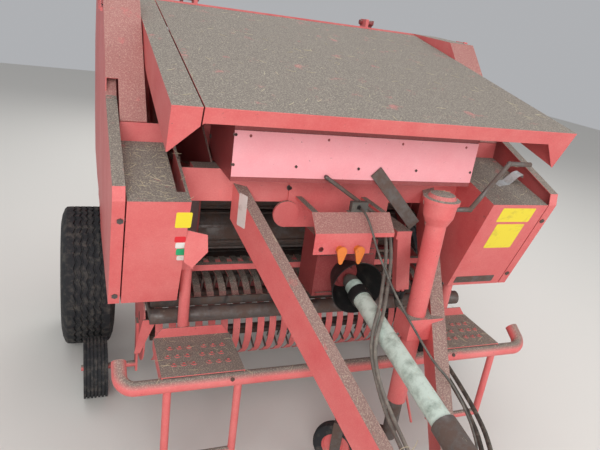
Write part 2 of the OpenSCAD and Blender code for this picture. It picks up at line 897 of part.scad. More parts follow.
module shaft_guard() {
    color("#b9cdbf")
        on_shaft()
            translate([0, 0, 60])
                difference() {
                    cylinder(d = pto_d, h = pto_len - 60 - cover_l, $fn = 48);
                    translate([0, 0, -1])
                        cylinder(d = inner_shaft_d + 2 * run_gap, h = pto_len, $fn = 48);
                }
}

module shaft_yoke() {
    color(dark)
        difference() {
            union() {
                on_shaft()
                    translate([0, 0, 22])
                        cylinder(d = 72, h = 37, $fn = 48);
                on_shaft()
                    cylinder(d = inner_shaft_d, h = pto_len - 20, $fn = 48);
                on_shaft()
                    translate([0, 0, pto_len - cover_l + seat])
                        cylinder(d = cover_d, h = cover_l - seat, $fn = 48);
            }
            on_shaft()
                translate([0, 0, pto_len - 70])
                    cylinder(d = spline_d, h = 80, $fn = 48);
            translate([-100, beam_back_y - 259 - seat, pto_z - 100])
                cube([200, 200, 200]);
        }
}

module valve_bracket() {
    color(red) {
        difference() {
            along_x(-231, 381)
                polygon([[valve_y, 1118], [valve_y, 1215], [valve_y + 74, 1285], [valve_y + 78, 1281],
                         [valve_y + 5, 1212], [valve_y + 5, 1118]]);
            translate([40, valve_y - 10, 1100])
                cube([200, 30, 95]);
            for (x = [-196, -110, -24])
                translate([x, valve_y - 5, port_z])
                    rotate([-90, 0, 0])
                        cylinder(d = 24, h = 20, $fn = 32);
        }
        for (x = [-225, 112])
            translate([x, valve_y + 73, 1270])
                cube([30, beam_back_y - 60 - valve_y - 73, 12]);
        translate([-60, valve_y + 74, 1281])
            cube([110, 26, 4]);
    }
}

module port_caps() {
    color("#d2601a")
        for (x = [-110, -24])
            translate([x, valve_y - 32, port_z])
                rotate([-90, 0, 0]) {
                    cylinder(d = 24 - 2 * seat, h = 50, $fn = 32);
                    cylinder(d = 34, h = 32 - seat, $fn = 32);
                    linear_extrude(7)
                        hull() {
                            circle(r = 23, $fn = 32);
                            translate([0, 50])
                                circle(r = 9, $fn = 32);
                        }
                }
}

module control_bar() {
    panel_face = net_y - sheet_t - seat;
    pipe_y = net_y - 15;
    color(grey) {
        translate([46, panel_face - 8, 1440])
            rotate([0, 45, 0])
                cube([360, 8, 60]);
        rod([-170, pipe_y, 1430], [139, pipe_y, 1240], 18);
        for (p = [[-170, 1430], [139, 1240]])
            translate([p[0], pipe_y, p[1]])
                sphere(d = 20, $fn = 32);
        rod([-170, pipe_y, 1430], [-170, panel_face, 1430], 18);
        rod([139, pipe_y, 1240], [139, beam_back_y - 60 - seat, 1240], 18);
    }
}

module jack_tube() {
    color(red)
        translate([jack_x, jack_y, 0])
            difference() {
                union() {
                    translate([0, 0, jack_low])
                        cylinder(d = jack_d, h = jack_top - jack_low, $fn = 48);
                    translate([0, 0, jack_top])
                        jack_head();
                    rod([jack_d / 2 - 2, 0, 520], [114, 0, 330], 12);
                }
                translate([0, 0, jack_low - 1])
                    cylinder(d = leg_d, h = jack_top - jack_low - 40, $fn = 48);
            }
}

// The bell-shaped head of the jack, with its disc
module jack_head() {
    r = jack_head_d / 2;
    rotate_extrude($fn = 64)
        polygon([[0, 0], [jack_d / 2 + 4, 0], [r - 12, 34], [r - 6, 90], [r, 92], [r, 108], [r - 16, 112],
                 [r - 24, 126], [0, 130]]);
}

module jack_crank() {
    z = jack_top + 60;
    bends = [[jack_x + jack_head_d / 2 - 20, z], [jack_x + 150, z], [jack_x + 290, z + 200],
             [jack_x + 400, z + 200]];
    color(grey)
        difference() {
            union() {
                for (i = [0 : 2])
                    rod([bends[i][0], jack_y, bends[i][1]], [bends[i + 1][0], jack_y, bends[i + 1][1]], 20);
                for (i = [1, 2])
                    translate([bends[i][0], jack_y, bends[i][1]])
                        sphere(d = 23, $fn = 32);
            }
            translate([jack_x, jack_y, jack_top + 34])
                cylinder(r1 = jack_head_d / 2 - 12 + seat, r2 = jack_head_d / 2 - 6 + seat, h = 56, $fn = 64);
        }
}

module jack_leg() {
    crown_z = jockey_d + 18;
    color(grey) {
        translate([jack_x, jack_y, crown_z + 20])
            cylinder(d = leg_d - 2 * leg_gap, h = 700, $fn = 48);
        hull() {
            translate([jack_x, jack_y, crown_z + 10])
                cylinder(d = leg_d, h = 24, $fn = 32);
            translate([jockey_x, jockey_y, crown_z + 10])
                cylinder(d = leg_d, h = 24, $fn = 32);
        }
        translate([jockey_x, jockey_y, 0])
            rotate([0, 0, jockey_turn]) {
                translate([-jockey_w / 2 - 14, -25, crown_z])
                    cube([jockey_w + 28, 50, 12]);
                for (s = [-1, 1])
                    translate([s * (jockey_w / 2 + 10) - 4, -25, jockey_d / 2 - 22])
                        cube([8, 50, crown_z - jockey_d / 2 + 30]);
                bar_x(20, -jockey_w / 2 - 14, jockey_w / 2 + 14, 0, jockey_d / 2);
            }
    }
}

module jockey_wheel() {
    color(rubber)
        translate([jockey_x, jockey_y, jockey_d / 2])
            rotate([0, 0, jockey_turn])
                rotate([0, 90, 0])
                    difference() {
                        cylinder(d = jockey_d, h = jockey_w, center = true, $fn = 64);
                        cylinder(d = 20 + 2 * run_gap, h = jockey_w + 2, center = true, $fn = 32);
                    }
}

// Outline of a side door ahead of the split
module door_outline() {
    back = split_y - 4;
    flat_z = deck_z - rail_h - panel_gap;
    start = riser_top - door_drop - shield_slope * riser_y;
    meet_y = (door_top - door_rise * (guard_y + 10) - start) / (shield_slope - door_rise);
    difference() {
        polygon([guard_line[0], guard_line[1], [guard_y + 10, door_top],
                 [meet_y, start + shield_slope * meet_y], [(flat_z - start) / shield_slope, flat_z],
                 [back, flat_z], [back, skirt_z]]);
        translate([axle_y, wheel_z])
            circle(r = arch_r, $fn = 120);
    }
}

module door() {
    difference() {
        along_x(body_half - door_t, door_t)
            door_outline();
        along_x(body_half - door_t - 1, door_t + 1 - sheet_t)
            offset(delta = -sheet_t)
                door_outline();
    }
    difference() {
        for (y = hinge_spots) {
            translate([body_half - 3, y - 30, deck_z - rail_h - panel_gap - 26])
                cube([9, 60, 16]);
            translate([hinge_x - 6, y - 30, deck_z - rail_h - panel_gap - 26])
                cube([4, 60, hinge_z - deck_z + rail_h + panel_gap + 26]);
            translate([hinge_x, y - 30, hinge_z])
                rotate([-90, 0, 0])
                    cylinder(d = 18, h = 60, $fn = 32);
        }
        for (y = hinge_spots)
            translate([hinge_x, y - 40, hinge_z])
                rotate([-90, 0, 0])
                    cylinder(d = hinge_d + 2 * run_gap, h = 80, $fn = 32);
    }
}

module door_left() {
    color(red)
        mirror([1, 0, 0])
            door();
}

module door_right() {
    color(red)
        door();
}

module gate_walls() {
    color(dark_red)
        both_sides() {
            along_x(wall_in, wall_t)
                intersection() {
                    translate([chamber_y, chamber_z])
                        circle(r = wall_r, $fn = 180);
                    translate([gate_front, 0])
                        square([1500, 3000]);
                }
            bar_x(50, wall_out, cyl_x - 25, cyl_eye[0], cyl_eye[1]);
            bar_x(pin_d, wall_in - 85, wall_out, gate_y, gate_z);
            along_x(wall_in, wall_t)
                polygon([[gate_y - 16, gate_z - 8], [gate_y - 16, gate_z + 16], [gate_y + 30, gate_z + 16],
                         [gate_y + 160, deck_z - 46], [gate_y + 160, deck_z - 80],
                         [gate_front, deck_z - 60], [gate_front, gate_z - 20]]);
        }
}

module gate_shell() {
    color(red)
        along_x(-wall_in, chamber_w)
            arc_sheet(-60, 88);
}

module gate_outline() {
    polygon([[gate_front, chamber_z - 245], [chamber_y + 250, chamber_z - 245],
             [tail_y - 140, chamber_z - 180], [tail_y, chamber_z + 80], [tail_y, deck_z - 320],
             [tail_y - 240, deck_z - 10], [gate_front, deck_z - 4]]);
}

module gate_shields() {
    shield_t = 24;
    color(red)
        both_sides()
            difference() {
                along_x(wall_out, body_half - wall_out)
                    gate_outline();
                along_x(wall_out - 1, body_half - wall_out - shield_t)
                    offset(delta = -sheet_t)
                        gate_outline();
                along_x(wall_out - 1, body_half - wall_out - shield_t)
                    translate([gate_front - 10, chamber_z - 220])
                        square([200, deck_z - chamber_z + 180]);
            }
}

module rollers_rear() {
    color(dark)
        for (a = rear_rollers)
            roller_at(a, chamber_w);
}

module tail_lamps() {
    color("#a01818")
        both_sides()
            translate([820, tail_y, 1500])
                cube([120, 40, 180]);
}

// Places a piece on a tailgate cylinder's line
module on_cylinder() {
    translate([cyl_x, cyl_low[0], cyl_low[1]])
        rotate([cyl_tilt - 90, 0, 0])
            children();
}

module barrel() {
    color(dark_red)
        on_cylinder()
            difference() {
                union() {
                    cylinder(d = cyl_d, h = 640, $fn = 48);
                    rotate([0, 90, 0])
                        cylinder(d = 80, h = 50, center = true, $fn = 48);
                }
                translate([0, 0, 60])
                    cylinder(d = rod_d, h = 700, $fn = 48);
                rotate([0, 90, 0])
                    cylinder(d = pin_d + 2 * run_gap, h = 100, center = true, $fn = 48);
            }
}

module cylinder_rod() {
    color("silver")
        on_cylinder() {
            translate([0, 0, 330])
                cylinder(d = rod_d - 0.1, h = cyl_len - 330, $fn = 48);
            translate([0, 0, cyl_len])
                rotate([0, 90, 0])
                    cylinder(d = 76, h = 40, center = true, $fn = 48);
        }
}

module barrel_left() {
    mirror([1, 0, 0])
        barrel();
}

module barrel_right() {
    barrel();
}

module rod_left() {
    mirror([1, 0, 0])
        cylinder_rod();
}

module rod_right() {
    cylinder_rod();
}

module tyre_section() {
    r = tyre_d / 2;
    w = tyre_w / 2;
    translate([rim_d / 2, 0])
        intersection() {
            polygon([[0, -w * 0.72], [60, -w], [130, -w], [r - rim_d / 2 - 12, -w * 0.86],
                     [r - rim_d / 2, -w * 0.7], [r - rim_d / 2, w * 0.7],
                     [r - rim_d / 2 - 12, w * 0.86], [130, w], [60, w], [0, w * 0.72]]);
            translate([0, -w])
                square([r, 2 * w]);
        }
}

module wheel() {
    translate([track_w / 2, axle_y, wheel_z])
        rotate([0, 90, 0]) {
            color(rubber)
                rotate_extrude($fn = 120)
                    tyre_section();
            color("#c9c2b4")
                difference() {
                    union() {
                        translate([0, 0, -90])
                            cylinder(d = rim_d + 1, h = 120, $fn = 96);
                        translate([0, 0, -21])
                            cylinder(d = hub_d, h = 60, $fn = 64);
                    }
                    translate([0, 0, -20])
                        difference() {
                            cylinder(d = rim_d - 40, h = 80, $fn = 96);
                            translate([0, 0, -1])
                                cylinder(d = hub_d, h = 82, $fn = 64);
                            for (i = [0 : 5])
                                rotate(i * 60)
                                    translate([wheel_pcd / 2, 0, -1])
                                        cylinder(d = 28, h = 18, $fn = 6);
                        }
                    translate([0, 0, -130])
                        cylinder(d = stub_d + 0.1, h = 260, $fn = 64);
                }
        }
}

module wheel_left() {
    mirror([1, 0, 0])
        wheel();
}

module wheel_right() {
    wheel();
}

module pickup_frame() {
    color(red)
        difference() {
            union() {
                both_sides() {
                    along_x(pickup_half - 8, 8)
                        hull() {
                            translate([reel_y, reel_z])
                                circle(r = strip_r - 5, $fn = 64);
                            translate([lift_y, lift_z])
                                circle(r = 50, $fn = 48);
                        }
                    along_x(pickup_half, 12)
                        translate([gauge_y - 30, gauge_z - 30])
                            square([60, 300]);
                    bar_x(32, pickup_half, gauge_x + gauge_w / 2 + 12, gauge_y, gauge_z);
                    translate([0, reel_y - strip_r + 12, 0])
                        rotate([90, 0, 0])
                            linear_extrude(6)
                                polygon([[pickup_half - 60, 585], [pickup_half + 7, 585],
                                         [pickup_half + 43, 400], [pickup_half + 16, 400]]);
                }
                bar_x(tube_d, -pickup_half + 4, pickup_half - 4, tube_y, tube_z);
            }
            bar_x(50, -pickup_half - 20, pickup_half + 20, reel_y, reel_z);
            bar_x(40 + 2 * run_gap, -pickup_half - 20, pickup_half + 20, lift_y, lift_z);
        }
}

module pickup_strippers() {
    count = floor((pickup_half - 60) / tine_pitch);
    color(red)
        for (i = [-count : count])
            along_x(i * tine_pitch - strip_w / 2, strip_w)
                translate([reel_y, reel_z]) {
                    rotate(90)
                        ring_part(strip_r, 5, 150);
                    translate([-1, strip_r - 5])
                        square([tube_y - reel_y + 8, 5]);
                }
}

// A ring of the outer radius r and thickness t, cut to an angle
module ring_part(r, t, angle) {
    steps = ceil(angle / 12);
    outer = [for (i = [0 : steps]) r * [cos(angle * i / steps), sin(angle * i / steps)]];
    inner = [for (i = [steps : -1 : 0]) (r - t) * [cos(angle * i / steps), sin(angle * i / steps)]];
    polygon(concat(outer, inner));
}

module tine_reel() {
    bar_count = floor((pickup_half - 40) / tine_pitch);
    bar_r = 150;
    color(dark) {
        bar_x(50 - 2 * run_gap, -pickup_half, pickup_half, reel_y, reel_z);
        for (b = [0 : tine_bars - 1])
            translate([0, reel_y, reel_z])
                rotate([b * 360 / tine_bars + 20, 0, 0]) {
                    bar_x(30, 40 - pickup_half, pickup_half - 40, bar_r, 0);
                    for (x = [60 - pickup_half, 0, pickup_half - 60])
                        rod([x, 0, 0], [x, bar_r, 0], 30);
                    for (i = [-bar_count : bar_count - 1])
                        translate([(i + 0.5) * tine_pitch - 4, bar_r, -4])
                            cube([8, tine_r - bar_r, 8]);
                }
    }
}

module gauge_wheel() {
    ribs = 7;
    step = gauge_w / (ribs - 0.4);
    r = gauge_d / 2;
    color(rubber)
        translate([gauge_x, gauge_y, gauge_z])
            rotate([0, 90, 0])
                rotate_extrude($fn = 96)
                    polygon(concat([[16.05, gauge_w / 2], [16.05, -gauge_w / 2]],
                                   [for (i = [0 : ribs - 1], p = [[r, 0], [r, 0.6], [r - 7, 0.6], [r - 7, 1]])
                                       if (i < ribs - 1 || p[1] < 0.9 && p[0] == r)
                                           [p[0], -gauge_w / 2 + (i + p[1]) * step]]));
}

module gauge_wheel_left() {
    mirror([1, 0, 0])
        gauge_wheel();
}

module gauge_wheel_right() {
    gauge_wheel();
}

module crop_guard() {
    color(grey) {
        bar_x(guard_tube_d, -pickup_half + 10, pickup_half - 10, guard_tube_y, guard_tube_z);
        translate([18 - pickup_half, guard_tube_y + 65, guard_tube_z + 8])
            cube([2 * (pickup_half - 18), 8, 42]);
        both_sides()
            along_x(pickup_half - 18, 10 - seat)
                hull() {
                    translate([guard_tube_y, guard_tube_z])
                        circle(r = 24, $fn = 32);
                    translate([arm_y, arm_z])
                        circle(r = 20, $fn = 32);
                }
    }
}

module hose_couplers() {
    color(grey)
        for (c = couplers)
            translate([c[0], coupler_y, c[1]])
                rotate([90, 0, 0]) {
                    cylinder(d = c[2], h = coupler_l - seat, $fn = 32);
                    translate([0, 0, coupler_l / 2])
                        cylinder(d = c[2] + 4, h = 14, $fn = 32);
                }
}

module cable_socket() {
    color("#d8d2c6")
        translate([-45, socket_y, 1285])
            cube([80, 24, 46]);
}

module hose_black_a() {
    color(dark)
        hose(black_a, black_d);
}

module hose_black_b() {
    color(dark)
        hose(black_b, black_d);
}

module hose_grey_a() {
    color(grey)
        hose(grey_a, grey_d);
}

module hose_grey_b() {
    color(grey)
        hose(grey_b, grey_d);
}

module lamp_cable() {
    color(dark)
        hose(cable_route, cable_d);
}

side_walls();
front_shell();
rollers_front();
chassis_frame();
cross_member();
drawbar();
hitch_eye();
front_panel();
net_box();
roof_strip();
guard_left();
twine_box();
upper_shields();
rear_rail();
hoop();
steps();
gearbox();
shaft_cone();
shaft_guard();
shaft_yoke();
valve_bracket();
port_caps();
control_bar();
jack_tube();
jack_crank();
jack_leg();
jockey_wheel();
lid();
door_left();
door_right();
gate_walls();
gate_shell();
gate_shields();
rollers_rear();
tail_lamps();
barrel_left();
barrel_right();
rod_left();
rod_right();
wheel_left();
wheel_right();
pickup_frame();
pickup_strippers();
tine_reel();
gauge_wheel_left();
gauge_wheel_right();
crop_guard();
hose_couplers();
cable_socket();
hose_black_a();
hose_black_b();
hose_grey_a();
hose_grey_b();
lamp_cable();
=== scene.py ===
# %% [markdown]
# A round baler, parked on its jockey wheel. The solids come ready made from the construction
# model, each in its final place and in metres. This file gives them their finishes and adds what
# is too small or too soft for the construction model: tyre treads, bolts, blank signs, hoses and
# straw. The first cell only loads the solids.

# %% Load the solids
import json
import math
import random
import bmesh
import bpy
from mathutils import Matrix, Vector
from mathutils.bvhtree import BVHTree
from mathutils.geometry import interpolate_bezier

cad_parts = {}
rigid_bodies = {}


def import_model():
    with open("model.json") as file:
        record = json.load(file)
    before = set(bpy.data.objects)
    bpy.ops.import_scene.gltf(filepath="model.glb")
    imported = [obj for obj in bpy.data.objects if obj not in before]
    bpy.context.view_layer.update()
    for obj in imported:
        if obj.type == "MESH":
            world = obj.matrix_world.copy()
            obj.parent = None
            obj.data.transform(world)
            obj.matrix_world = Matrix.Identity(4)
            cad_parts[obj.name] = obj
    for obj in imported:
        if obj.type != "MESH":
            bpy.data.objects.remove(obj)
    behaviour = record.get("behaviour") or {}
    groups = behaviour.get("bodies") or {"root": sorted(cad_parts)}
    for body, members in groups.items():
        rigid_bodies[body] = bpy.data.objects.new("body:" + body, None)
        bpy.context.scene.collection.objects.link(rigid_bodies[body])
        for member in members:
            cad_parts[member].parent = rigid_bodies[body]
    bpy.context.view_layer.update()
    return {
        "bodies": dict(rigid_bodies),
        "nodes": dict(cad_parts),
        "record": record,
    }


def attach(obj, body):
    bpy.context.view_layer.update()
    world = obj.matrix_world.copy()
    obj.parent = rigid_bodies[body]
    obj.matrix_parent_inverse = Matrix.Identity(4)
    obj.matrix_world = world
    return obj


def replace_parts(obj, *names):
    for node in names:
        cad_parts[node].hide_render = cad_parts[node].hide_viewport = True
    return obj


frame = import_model()
nodes = frame["nodes"]

# %% [markdown]
# The view decides how every other choice is judged, so the camera comes first. A camera looks
# along its own -Z axis. Its three axes are written as the columns of a matrix, because they were
# measured as directions, and a matrix takes them as they are, without any angles in between.

# %% Camera
SENSOR_MM = 36
LENS_MM = 33.6
eye = Vector((-1.156, -2.47, 2.05))
to_right = Vector((0.93026, -0.34321, 0.12974))
to_top = Vector((0.00590, 0.36753, 0.92999))
to_back = -Vector((0.36686, 0.86437, -0.34392))

lens = bpy.data.cameras.new("view")
lens.sensor_width = SENSOR_MM
lens.lens = LENS_MM
lens.clip_start = 0.02
lens.clip_end = 100
camera = bpy.data.objects.new("view", lens)
bpy.context.scene.collection.objects.link(camera)
camera.matrix_world = Matrix.Translation(eye) @ Matrix((to_right, to_top, to_back)).transposed().to_4x4()
bpy.context.scene.camera = camera
print("camera at", tuple(eye), "lens", LENS_MM, "mm")

# %% [markdown]
# Hoses and cables come next, because where they hang decides how crowded the front looks. Each one
# is a curve through the points of its route: two black hoses and the lamp cable go over the drive
# shaft to the right, two thin grey hoses drape over its guard and hang down on the left. They all
# end in couplers that are parked in the holder on the drawbar. A curve keeps its own real length,
# which is measured here.

# %% Hoses and cable
BLACK_A = [
    (0.312, -0.354, 0.855), (0.312, -0.354, 0.820), (0.317, -0.363, 0.783), (0.338, -0.395, 0.745),
    (0.358, -0.455, 0.716), (0.372, -0.555, 0.690), (0.380, -0.670, 0.660), (0.383, -0.840, 0.612),
    (0.364, -1.005, 0.574), (0.334, -1.100, 0.555), (0.285, -1.188, 0.546), (0.225, -1.254, 0.547),
    (0.166, -1.310, 0.558), (0.150, -1.360, 0.565), (0.150, -1.400, 0.565),
]
BLACK_B = [
    (0.336, -0.354, 0.855), (0.336, -0.354, 0.820), (0.341, -0.363, 0.785), (0.362, -0.395, 0.751),
    (0.382, -0.455, 0.726), (0.396, -0.555, 0.702), (0.404, -0.670, 0.674), (0.407, -0.840, 0.628),
    (0.390, -1.005, 0.591), (0.362, -1.105, 0.573), (0.315, -1.195, 0.564), (0.258, -1.262, 0.564),
    (0.206, -1.312, 0.566), (0.190, -1.360, 0.565), (0.190, -1.400, 0.565),
]
GREY_A = [
    (0.190, -0.200, 1.200), (0.190, -0.245, 1.200), (0.186, -0.305, 1.187), (0.168, -0.375, 1.156),
    (0.138, -0.455, 1.108), (0.098, -0.535, 1.055), (0.052, -0.615, 1.004), (0.006, -0.692, 0.968),
    (-0.034, -0.748, 0.948), (-0.062, -0.788, 0.895), (-0.064, -0.815, 0.825), (-0.048, -0.858, 0.735),
    (-0.032, -0.950, 0.640), (-0.036, -1.090, 0.596), (-0.062, -1.230, 0.592), (-0.085, -1.350, 0.570),
    (-0.085, -1.400, 0.570),
]
GREY_B = [
    (0.212, -0.200, 1.200), (0.212, -0.245, 1.200), (0.208, -0.307, 1.186), (0.190, -0.380, 1.155),
    (0.159, -0.465, 1.106), (0.116, -0.550, 1.051), (0.066, -0.635, 0.998), (0.012, -0.720, 0.962),
    (-0.032, -0.780, 0.942), (-0.062, -0.822, 0.889), (-0.062, -0.850, 0.819), (-0.044, -0.893, 0.730),
    (-0.020, -0.985, 0.644), (-0.020, -1.110, 0.600), (-0.042, -1.240, 0.578), (-0.045, -1.350, 0.570),
    (-0.045, -1.400, 0.570),
]
LAMP_CABLE = [
    (-0.010, -0.400, 1.308), (-0.010, -0.440, 1.308), (-0.005, -0.479, 1.290), (0.008, -0.515, 1.245),
    (0.028, -0.562, 1.168), (0.058, -0.620, 1.085), (0.082, -0.675, 1.020), (0.105, -0.735, 0.965),
    (0.125, -0.795, 0.920), (0.148, -0.860, 0.870), (0.172, -0.920, 0.828), (0.205, -0.965, 0.792),
    (0.240, -1.000, 0.742), (0.264, -1.045, 0.688), (0.264, -1.110, 0.645), (0.236, -1.185, 0.616),
    (0.178, -1.252, 0.600), (0.126, -1.308, 0.582), (0.110, -1.360, 0.570), (0.110, -1.400, 0.570),
]


def free_cord(name, route, diameter, replaced):
    """A cord as a smooth tube through its route, in place of its solid, and the path that it follows."""
    line = bpy.data.curves.new(name, "CURVE")
    line.dimensions = "3D"
    line.bevel_depth = diameter / 2
    line.bevel_resolution = 3
    line.resolution_u = 6
    line.use_fill_caps = True
    spline = line.splines.new("BEZIER")
    spline.bezier_points.add(len(route) - 1)
    for bend, place in zip(spline.bezier_points, route):
        bend.co = place
        bend.handle_left_type = bend.handle_right_type = "AUTO"
    cord = bpy.data.objects.new(name, line)
    bpy.context.scene.collection.objects.link(cord)
    bpy.context.view_layer.update()
    path = [Vector(route[0])]
    for a, b in zip(spline.bezier_points, spline.bezier_points[1:]):
        path += interpolate_bezier(a.co, a.handle_right, b.handle_left, b.co, 9)[1:]
    bpy.ops.object.select_all(action="DESELECT")
    cord.select_set(True)
    bpy.context.view_layer.objects.active = cord
    bpy.ops.object.convert(target="MESH")
    bpy.ops.object.shade_smooth_by_angle(angle=math.radians(50))
    tube = bpy.context.object
    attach(tube, "chassis")
    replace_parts(tube, replaced)
    length = sum((b - a).length for a, b in zip(path, path[1:]))
    print(name, "length", round(length, 3), "m")
    return tube, [tuple(place) for place in path], length


CORDS = (
    ("black_hose_a", BLACK_A, 0.020, "hose_black_a", "stiff", "fitting"),
    ("black_hose_b", BLACK_B, 0.020, "hose_black_b", "stiff", "fitting"),
    ("grey_hose_a", GREY_A, 0.016, "hose_grey_a", "medium", "fitting"),
    ("grey_hose_b", GREY_B, 0.016, "hose_grey_b", "medium", "fitting"),
    ("lamp_lead", LAMP_CABLE, 0.010, "lamp_cable", "medium", "connector"),
)
cords = {row[0]: free_cord(*row[:4]) for row in CORDS}

# %% [markdown]
# A studio for a machine is a pale floor and large soft lamps. Wide area lamps give broad, gentle
# shading that shows the folds of the sheet metal, and a pale world fills the shadows.

# %% Floor and light
def to_linear(code):
    """The linear colour of an sRGB hex code such as #c23a3a."""
    parts = [int(code[i:i + 2], 16) / 255 for i in (1, 3, 5)]
    return [c / 12.92 if c <= 0.04045 else ((c + 0.055) / 1.055) ** 2.4 for c in parts] + [1]


def node(tree, kind, settings=None, links=None):
    """Adds a node, sets its properties or inputs by name, and links inputs to other outputs."""
    made = tree.nodes.new(kind)
    for key, value in (settings or {}).items():
        if isinstance(key, str) and hasattr(made, key):
            setattr(made, key, value)
        else:
            made.inputs[key].default_value = value
    for key, source in (links or {}).items():
        tree.links.new(source, made.inputs[key])
    return made


FLOOR_HALF = 14
bpy.ops.object.select_all(action="DESELECT")
bpy.ops.mesh.primitive_plane_add(size=2 * FLOOR_HALF, location=(0, 0, -0.001))
floor = bpy.context.object
floor.name = "floor"
pale = bpy.data.materials.new("pale_floor")
pale.use_nodes = True
pale.node_tree.nodes["Principled BSDF"].inputs["Base Color"].default_value = to_linear("#d9d6d0")
pale.node_tree.nodes["Principled BSDF"].inputs["Roughness"].default_value = 0.9
floor.data.materials.append(pale)

scene = bpy.context.scene
scene.view_settings.view_transform = "Standard"
world = bpy.data.worlds.new("soft_sky")
world.use_nodes = True
world.node_tree.nodes["Background"].inputs["Color"].default_value = to_linear("#e4e6ea")
world.node_tree.nodes["Background"].inputs["Strength"].default_value = 0.55
scene.world = world

LAMPS = (
    ("key", (-2.6, -6.0, 3.6), 4.0, 330),
    ("fill", (4.5, -5.0, 3.0), 4.0, 150),
    ("top", (0.0, 1.0, 7.0), 6.0, 140),
    ("rear", (2.0, 6.5, 4.5), 4.0, 170),
)
for name, place, size, power in LAMPS:
    lamp = bpy.data.lights.new(name, "AREA")
    lamp.size = size
    lamp.energy = power
    holder = bpy.data.objects.new(name, lamp)
    holder.location = place
    holder.rotation_euler = (Vector((0, 0, 0.8)) - Vector(place)).to_track_quat("-Z", "Y").to_euler()
    scene.collection.objects.link(holder)
print("lamps:", len(LAMPS))

# %% [markdown]
# Most of the machine is sheet steel in red stoving enamel, faded pink by the sun and under barn
# dust. Three things are laid over each other: the enamel with slow patches of fading, brown specks
# where chips have let rust through, and dust where a face looks up. The dust reads the surface's
# own direction, so it lies thick on tops and steps and is only a thin film on upright faces. Its
# colour is darker than the dust alone, so it is partly real dust and partly painted shade on the
# upward faces. Each pattern has its own size, and a pattern's scale says how many of its patches
# fit in a metre.

# %% Enamel
FADING_PER_M = 2.4
CHIPS_PER_M = 42
DRIFTS_PER_M = 9
CRUMBS_PER_M = 170
CHIP_RUST = "#5d3a33"
# The dust and crumb colours are darkened: partly real dust, partly painted shade on upward faces.
CRUMB_TAN_AND_SHADE = "#b3aa9b"
DUST_AND_SHADE_FILM = 0.14


def enamel(name, fresh, faded, dust_and_shade="#756c64", dust_and_shade_on_top=1.0, fade=0.5):
    """Stoving enamel on sheet steel: fading, chips and dust on what faces up, the dust partly painted shade.
    """
    material = bpy.data.materials.new(name)
    material.use_nodes = True
    tree = material.node_tree
    shader = tree.nodes["Principled BSDF"]
    place = node(tree, "ShaderNodeTexCoord")
    spot = place.outputs["Object"]
    patches = node(tree, "ShaderNodeTexNoise", {"Scale": FADING_PER_M, "Detail": 10, "Roughness": 0.72},
                   {"Vector": spot})
    ramp = node(tree, "ShaderNodeMapRange", {"From Min": 0.42 - 0.3 * fade, "From Max": 1.0 - 0.3 * fade},
                {"Value": patches.outputs["Fac"]})
    base = node(tree, "ShaderNodeMix", {"data_type": "RGBA", 6: to_linear(fresh), 7: to_linear(faded)},
                {0: ramp.outputs["Result"]})
    grain = node(tree, "ShaderNodeTexNoise", {"Scale": CHIPS_PER_M, "Detail": 8, "Roughness": 0.75},
                 {"Vector": spot})
    chips = node(tree, "ShaderNodeMapRange", {"From Min": 0.64, "From Max": 0.70},
                 {"Value": grain.outputs["Fac"]})
    chipped = node(tree, "ShaderNodeMix", {"data_type": "RGBA", 7: to_linear(CHIP_RUST)},
                   {0: chips.outputs["Result"], 6: base.outputs[2]})
    side = node(tree, "ShaderNodeSeparateXYZ", None, {0: place.outputs["Normal"]})
    steepness = {"From Min": 0.35, "From Max": 0.92, "To Min": DUST_AND_SHADE_FILM, "To Max": dust_and_shade_on_top}
    facing = node(tree, "ShaderNodeMapRange", steepness, {"Value": side.outputs["Z"]})
    drift = node(tree, "ShaderNodeTexNoise", {"Scale": DRIFTS_PER_M, "Detail": 9, "Roughness": 0.7},
                 {"Vector": spot})
    cover = node(tree, "ShaderNodeMapRange", {"From Min": 0.16, "From Max": 0.40},
                 {"Value": drift.outputs["Fac"]})
    amount = node(tree, "ShaderNodeMath", {"operation": "MULTIPLY"},
                  {0: facing.outputs["Result"], 1: cover.outputs["Result"]})
    crumbs = node(tree, "ShaderNodeTexNoise", {"Scale": CRUMBS_PER_M, "Detail": 4, "Roughness": 0.8},
                  {"Vector": spot})
    light = node(tree, "ShaderNodeMapRange", {"From Min": 0.48, "From Max": 0.66},
                 {"Value": crumbs.outputs["Fac"]})
    # Dust colour, partly painted shade: it darkens what faces up.
    dust_and_shade_colour = node(tree, "ShaderNodeMix", {"data_type": "RGBA", 6: to_linear(dust_and_shade), 7: to_linear(CRUMB_TAN_AND_SHADE)},
                {0: light.outputs["Result"]})
    final = node(tree, "ShaderNodeMix", {"data_type": "RGBA"},
                 {0: amount.outputs[0], 6: chipped.outputs[2], 7: dust_and_shade_colour.outputs[2]})
    tree.links.new(final.outputs[2], shader.inputs["Base Color"])
    dull = node(tree, "ShaderNodeMapRange", {"To Min": 0.42, "To Max": 0.95}, {"Value": amount.outputs[0]})
    tree.links.new(dull.outputs["Result"], shader.inputs["Roughness"])
    relief = node(tree, "ShaderNodeBump", {"Strength": 0.25, "Distance": 0.0015},
                  {"Height": crumbs.outputs["Fac"]})
    tree.links.new(relief.outputs["Normal"], shader.inputs["Normal"])
    return material


red_enamel = enamel("red_enamel", "#d04348", "#e5837f")
bleached_enamel = enamel("bleached_enamel", "#ec8890", "#f3a9b1", fade=0.9)
# A darker copy of the red enamel: painted shade for the inner walls and shaded parts, not a darker paint.
painted_shade_enamel = enamel("painted_shade_red_enamel", "#84191f", "#96393c", dust_and_shade_on_top=0.8)
cream_enamel = enamel("cream_enamel", "#c9c0ab", "#d8d0be", dust_and_shade_on_top=0.6)
print("enamels: 4")

# %% [markdown]
# Bare steel parts such as the crank, the crop guard and the rollers are not bright. Years of straw
# polish the edges and leave a brown-grey skin elsewhere. The metal is mixed with rust by a noise
# pattern, and the rust is rough and not metallic, which makes the two read as different surfaces.

# %% Steel and chrome
RUST_CLOUDS_PER_M = 14


